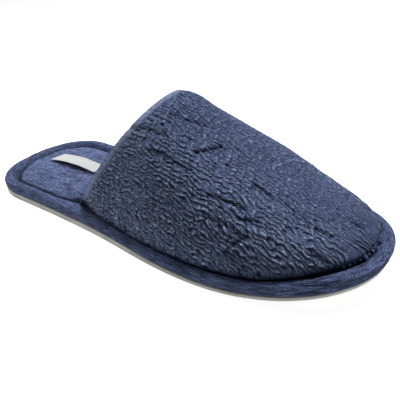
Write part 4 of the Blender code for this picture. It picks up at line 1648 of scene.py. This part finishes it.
        shell = Shell()
        along, girth = travelled(smooth, axis=1) / MM, travelled(smooth, axis=0) / MM
        weave = np.stack([along, girth], -1)
        outside = shell.add(outer, weave, depth, lips)
        step = self.coarse
        inside = shell.add(lining[::step, ::step], weave[::step, ::step])
        shell.quads(outside)
        shell.quads(inside, slot=1)
        back = outer[:, 0] - outer[:, self.collar_back]
        back /= np.linalg.norm(back, axis=1)[:, None]
        centre, half = (outer[:, 0] + lining[:, 0]) / 2, (outer[:, 0] - lining[:, 0]) / 2
        turns = np.linspace(0.0, np.pi, self.collar_steps + 1)[1:-1]
        lips = np.stack([centre + math.cos(turn) * half + math.sin(turn) * self.collar_lip * back
                         for turn in turns])
        lip = shell.add(lips, np.broadcast_to(weave[None, :, 0], (*lips.shape[:2], 2)))
        shell.quads(np.concatenate([outside[None, :, 0], lip]))
        shell.zipped(lip[-1], inside[:, 0], slot=1)
        shell.zipped(outside[0], inside[0])
        shell.zipped(outside[-1], inside[-1])
        for end in (0, -1):
            for first, second in zip([outside[end, 0], *lip[:-1, end]], lip[:, end]):
                shell.face((first, second, inside[end, 0]))
        return shell.finish("crinkled_upper", [UPPER_CLOTH.material(), LINING_CLOTH.material()])

    def dress(self) -> Object:
        """Builds the upper and hands it over."""
        vamp = self.build()
        ride(vamp, "upper_cloth", "upper")
        return vamp


@dataclass
class SeamGathers:
    """Puckered cloth along the seam around the toe."""

    upper: Upper
    lateral_from_heel: float = 0.272
    medial_from_heel: float = 0.280
    spacing: float = 0.0034
    length: float = 0.0066
    width: float = 0.0038
    height: float = 0.0042
    low: float = 0.65
    high: float = 1.15
    first: float = 0.40
    full_from_heel: float = 0.285
    below: int = 3
    seed: int = 7

    def guide(self) -> Mesh:
        """The seam line around the toe, with its outward direction."""
        upper = self.upper
        row = upper.foot_steps - self.below
        lateral, medial = upper.outer[row], upper.outer[-1 - row]
        lateral = lateral[upper.last.from_heel(lateral) > self.lateral_from_heel]
        medial = medial[upper.last.from_heel(medial) > self.medial_from_heel]
        line = np.concatenate([lateral, medial[::-1][1:]])
        tangent = np.gradient(line, axis=0)
        outward = np.column_stack([tangent[:, 1], -tangent[:, 0], np.zeros(len(line))])
        outward /= np.maximum(np.linalg.norm(outward, axis=1)[:, None], TINY)
        if outward[len(line) // 2, 0] < 0.0:
            outward = -outward
        data = guide_line("toe_seam", line, outward, closed=False)
        grown = ramp(upper.last.from_heel(line), self.lateral_from_heel, self.full_from_heel)
        store(data, "swell", self.first + (1.0 - self.first) * grown)
        return data

    def tree(self, material: Material) -> Pattern:
        """Tree that sets soft puckers of varying size along a line."""
        tree = Pattern("seam_gathers", {
            "Spacing": ("Float", 0.003), "Size": ("Vector", (1.0, 1.0, 1.0)),
            "Smallest": ("Float", 0.7), "Largest": ("Float", 1.3), "Seed": ("Int", 0)})
        points, facing = tree.along_line()
        ball = tree.node("GeometryNodeMeshIcoSphere", None, {"Radius": 0.5, "Subdivisions": 3})
        shaped = tree.node("GeometryNodeTransform", None,
                           {"Geometry": ball.outputs[0], "Scale": tree.given("Size")})
        vary = tree.node("FunctionNodeRandomValue", {"data_type": "FLOAT"}, {
            "Min_001": tree.given("Smallest"), "Max_001": tree.given("Largest"),
            "Seed": tree.given("Seed")})
        swell = Value(tree, tree.stored("swell", "FLOAT"))
        scale = swell * tree.socket(vary.outputs, "Value_001")
        tree.close(points, shaped, material, {"Rotation": facing, "Scale": scale})
        return tree

    def dress(self, material: Material) -> None:
        """Builds the puckers and hands them over."""
        made = self.tree(material).run(self.guide(), "toe_seam_gathers", {
            "Spacing": self.spacing, "Size": (self.length, self.width, self.height),
            "Smallest": self.low, "Largest": self.high, "Seed": self.seed})
        ride(made, "upper_cloth")


@dataclass
class Label:
    """Blank woven tape sewn across the heel part of the insole."""

    last: Last
    length: float = 0.048
    width: float = 0.013
    thickness: float = 0.0006
    from_heel: float = 0.0545
    offset: float = 0.0025
    arch: float = 0.0022
    lift: float = 0.0003
    curl: float = 0.0012
    far_curl: float = 0.45
    curl_from: Span = (-0.6, 0.9)
    ripple: float = 0.00010
    ripple_turns: Span = (9.0, 1.3)
    bend: float = 0.6
    drop: float = 0.1
    long_steps: int = 72
    wide_steps: int = 20

    def build(self, pad: Object) -> Object:
        """Lays the tape on the pad, standing up a little at its middle."""
        tree = BVHTree.FromObject(pad, bpy.context.evaluated_depsgraph_get())
        along = np.linspace(-1.0, 1.0, self.long_steps + 1)
        across = np.linspace(-1.0, 1.0, self.wide_steps + 1)
        u, v = np.meshgrid(along, across, indexing="ij")
        x = self.from_heel - self.last.length / 2 + u * self.length / 2
        y = v * self.width / 2 - self.offset
        floor = np.zeros(x.shape)
        for at in np.ndindex(x.shape):
            hit = tree.ray_cast(Vector((x[at], y[at], self.drop)), Vector((0.0, 0.0, -1.0)))[0]
            floor[at] = hit.z
        bed = floor.mean(axis=1, keepdims=True) * (1.0 - self.bend) + floor * self.bend
        turns = self.ripple_turns
        ripple = self.ripple * np.sin(u * turns[0] + v * turns[1]) * (1.0 - u**2)
        toward = self.far_curl + (1.0 - self.far_curl) * ramp(u, *self.curl_from)
        curl = self.curl * (1.0 - v) / 2 * toward
        base = bed + self.lift + self.arch * (1.0 - u**2) + ripple + curl
        base = np.maximum(base, floor + self.lift)
        shell = Shell()
        weave = np.stack([u * self.length / 2, v * self.width / 2], -1) / MM
        top = shell.add(np.stack([x, y, base + self.thickness], -1), weave)
        under = shell.add(np.stack([x, y, base], -1), weave)
        shell.quads(top)
        shell.quads(under)
        for edge in ((0,), (-1,), (slice(None), 0), (slice(None), -1)):
            shell.quads(np.stack([top[edge], under[edge]]))
        return shell.finish("woven_label", [TapeFinish().material()])

    def dress(self, pad: Object) -> None:
        """Builds the tape and hands it over."""
        ride(self.build(pad), "label_weave", "label")


class Lamp(NamedTuple):
    """A soft square lamp: its place, edge length and power."""

    name: str
    place: tuple[float, float, float]
    size: float
    power: float


@dataclass
class Studio:
    """Camera at the photo's angle, pale floor and soft light."""

    camera_place: tuple[float, float, float] = (0.17501, -0.20955, 0.16471)
    azimuth: float = 35.792
    elevation: float = 29.936
    roll: float = -2.201
    lens: float = 40.74
    sensor: float = 36.0
    clip: Span = (0.01, 20.0)
    floor_size: float = 30.0
    floor_colour: Colour = (0.36, 0.36, 0.36)
    floor_glow: float = 0.84
    floor_roughness: float = 0.9
    sky_strength: float = 0.22
    aim: tuple[float, float, float] = (0.03, 0.0, 0.03)
    lamps: tuple[Lamp, ...] = (
        Lamp("key", (0.12, 0.41, 0.91), size=0.34, power=18.5),
        Lamp("front", (0.75, 0.10, 0.45), size=0.4, power=1.0),
        Lamp("heel", (-0.78, -0.12, 0.42), size=0.4, power=7.0),
    )

    def camera(self) -> None:
        """Makes the camera."""
        a, e, r = (math.radians(angle) for angle in (self.azimuth, self.elevation, self.roll))
        back = Vector((math.sin(a) * math.cos(e), -math.cos(a) * math.cos(e), math.sin(e)))
        right = Vector((math.cos(a), math.sin(a), 0.0))
        up = back.cross(right)
        rolled_right = right * math.cos(r) + up * math.sin(r)
        rolled_up = up * math.cos(r) - right * math.sin(r)
        data = bpy.data.cameras.new("camera")
        data.lens, data.sensor_width = self.lens, self.sensor
        data.clip_start, data.clip_end = self.clip
        made = linked("camera", data)
        made.matrix_world = Matrix.Translation(self.camera_place) @ Matrix(
            (rolled_right, rolled_up, back)).transposed().to_4x4()
        bpy.context.scene.camera = made

    def floor(self) -> None:
        """Makes the pale floor that the shoe stands on."""
        half = self.floor_size / 2
        data = bpy.data.meshes.new("floor")
        corners = [(-half, -half, 0.0), (half, -half, 0.0), (half, half, 0.0), (-half, half, 0.0)]
        data.from_pydata(corners, [], [(0, 1, 2, 3)])
        paint = Paint("floor_paper")
        paint.shader.inputs["Base Color"].default_value = opaque(self.floor_colour)
        paint.shader.inputs["Roughness"].default_value = self.floor_roughness
        paint.shader.inputs["Emission Strength"].default_value = self.floor_glow
        data.materials.append(paint.material)
        linked("floor", data)

    def hang(self, lamp: Lamp) -> None:
        """Adds a lamp that points at the shoe."""
        data = bpy.data.lights.new(lamp.name, "AREA")
        data.size, data.energy = lamp.size, lamp.power
        made = linked(lamp.name, data)
        made.location = lamp.place
        made.rotation_mode = "QUATERNION"
        made.rotation_quaternion = (Vector(self.aim) - Vector(lamp.place)).to_track_quat("-Z", "Y")

    def light(self) -> None:
        """Makes the sky and the lamps."""
        world = bpy.data.worlds.new("studio")
        world.use_nodes = True
        sky = world.node_tree.nodes["Background"]
        sky.inputs["Color"].default_value = (1.0, 1.0, 1.0, 1.0)
        seen = world.node_tree.nodes.new("ShaderNodeLightPath")
        strength = world.node_tree.nodes.new("ShaderNodeMapRange")
        strength.inputs["To Min"].default_value = self.sky_strength
        strength.inputs["To Max"].default_value = 1.0
        world.node_tree.links.new(seen.outputs["Is Camera Ray"], strength.inputs["Value"])
        world.node_tree.links.new(strength.outputs["Result"], sky.inputs["Strength"])
        bpy.context.scene.world = world
        bpy.context.scene.view_settings.view_transform = "Standard"
        for lamp in self.lamps:
            self.hang(lamp)

    def build(self) -> None:
        """Makes the whole studio."""
        self.camera()
        self.floor()
        self.light()


def main() -> None:
    """Builds the studio and the slipper's sub-assemblies in order."""
    logging.basicConfig(level=logging.INFO, format="%(name)s %(message)s")
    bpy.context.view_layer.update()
    last = Last()
    Studio().build()
    Outsole(last).dress()
    Rim(last).dress()
    pad = Insole(last).dress()
    upper = Upper(last)
    vamp = upper.dress()
    SeamGathers(upper).dress(vamp.data.materials[0])
    Label(last).dress(pad)


if __name__ == "__main__":
    main()
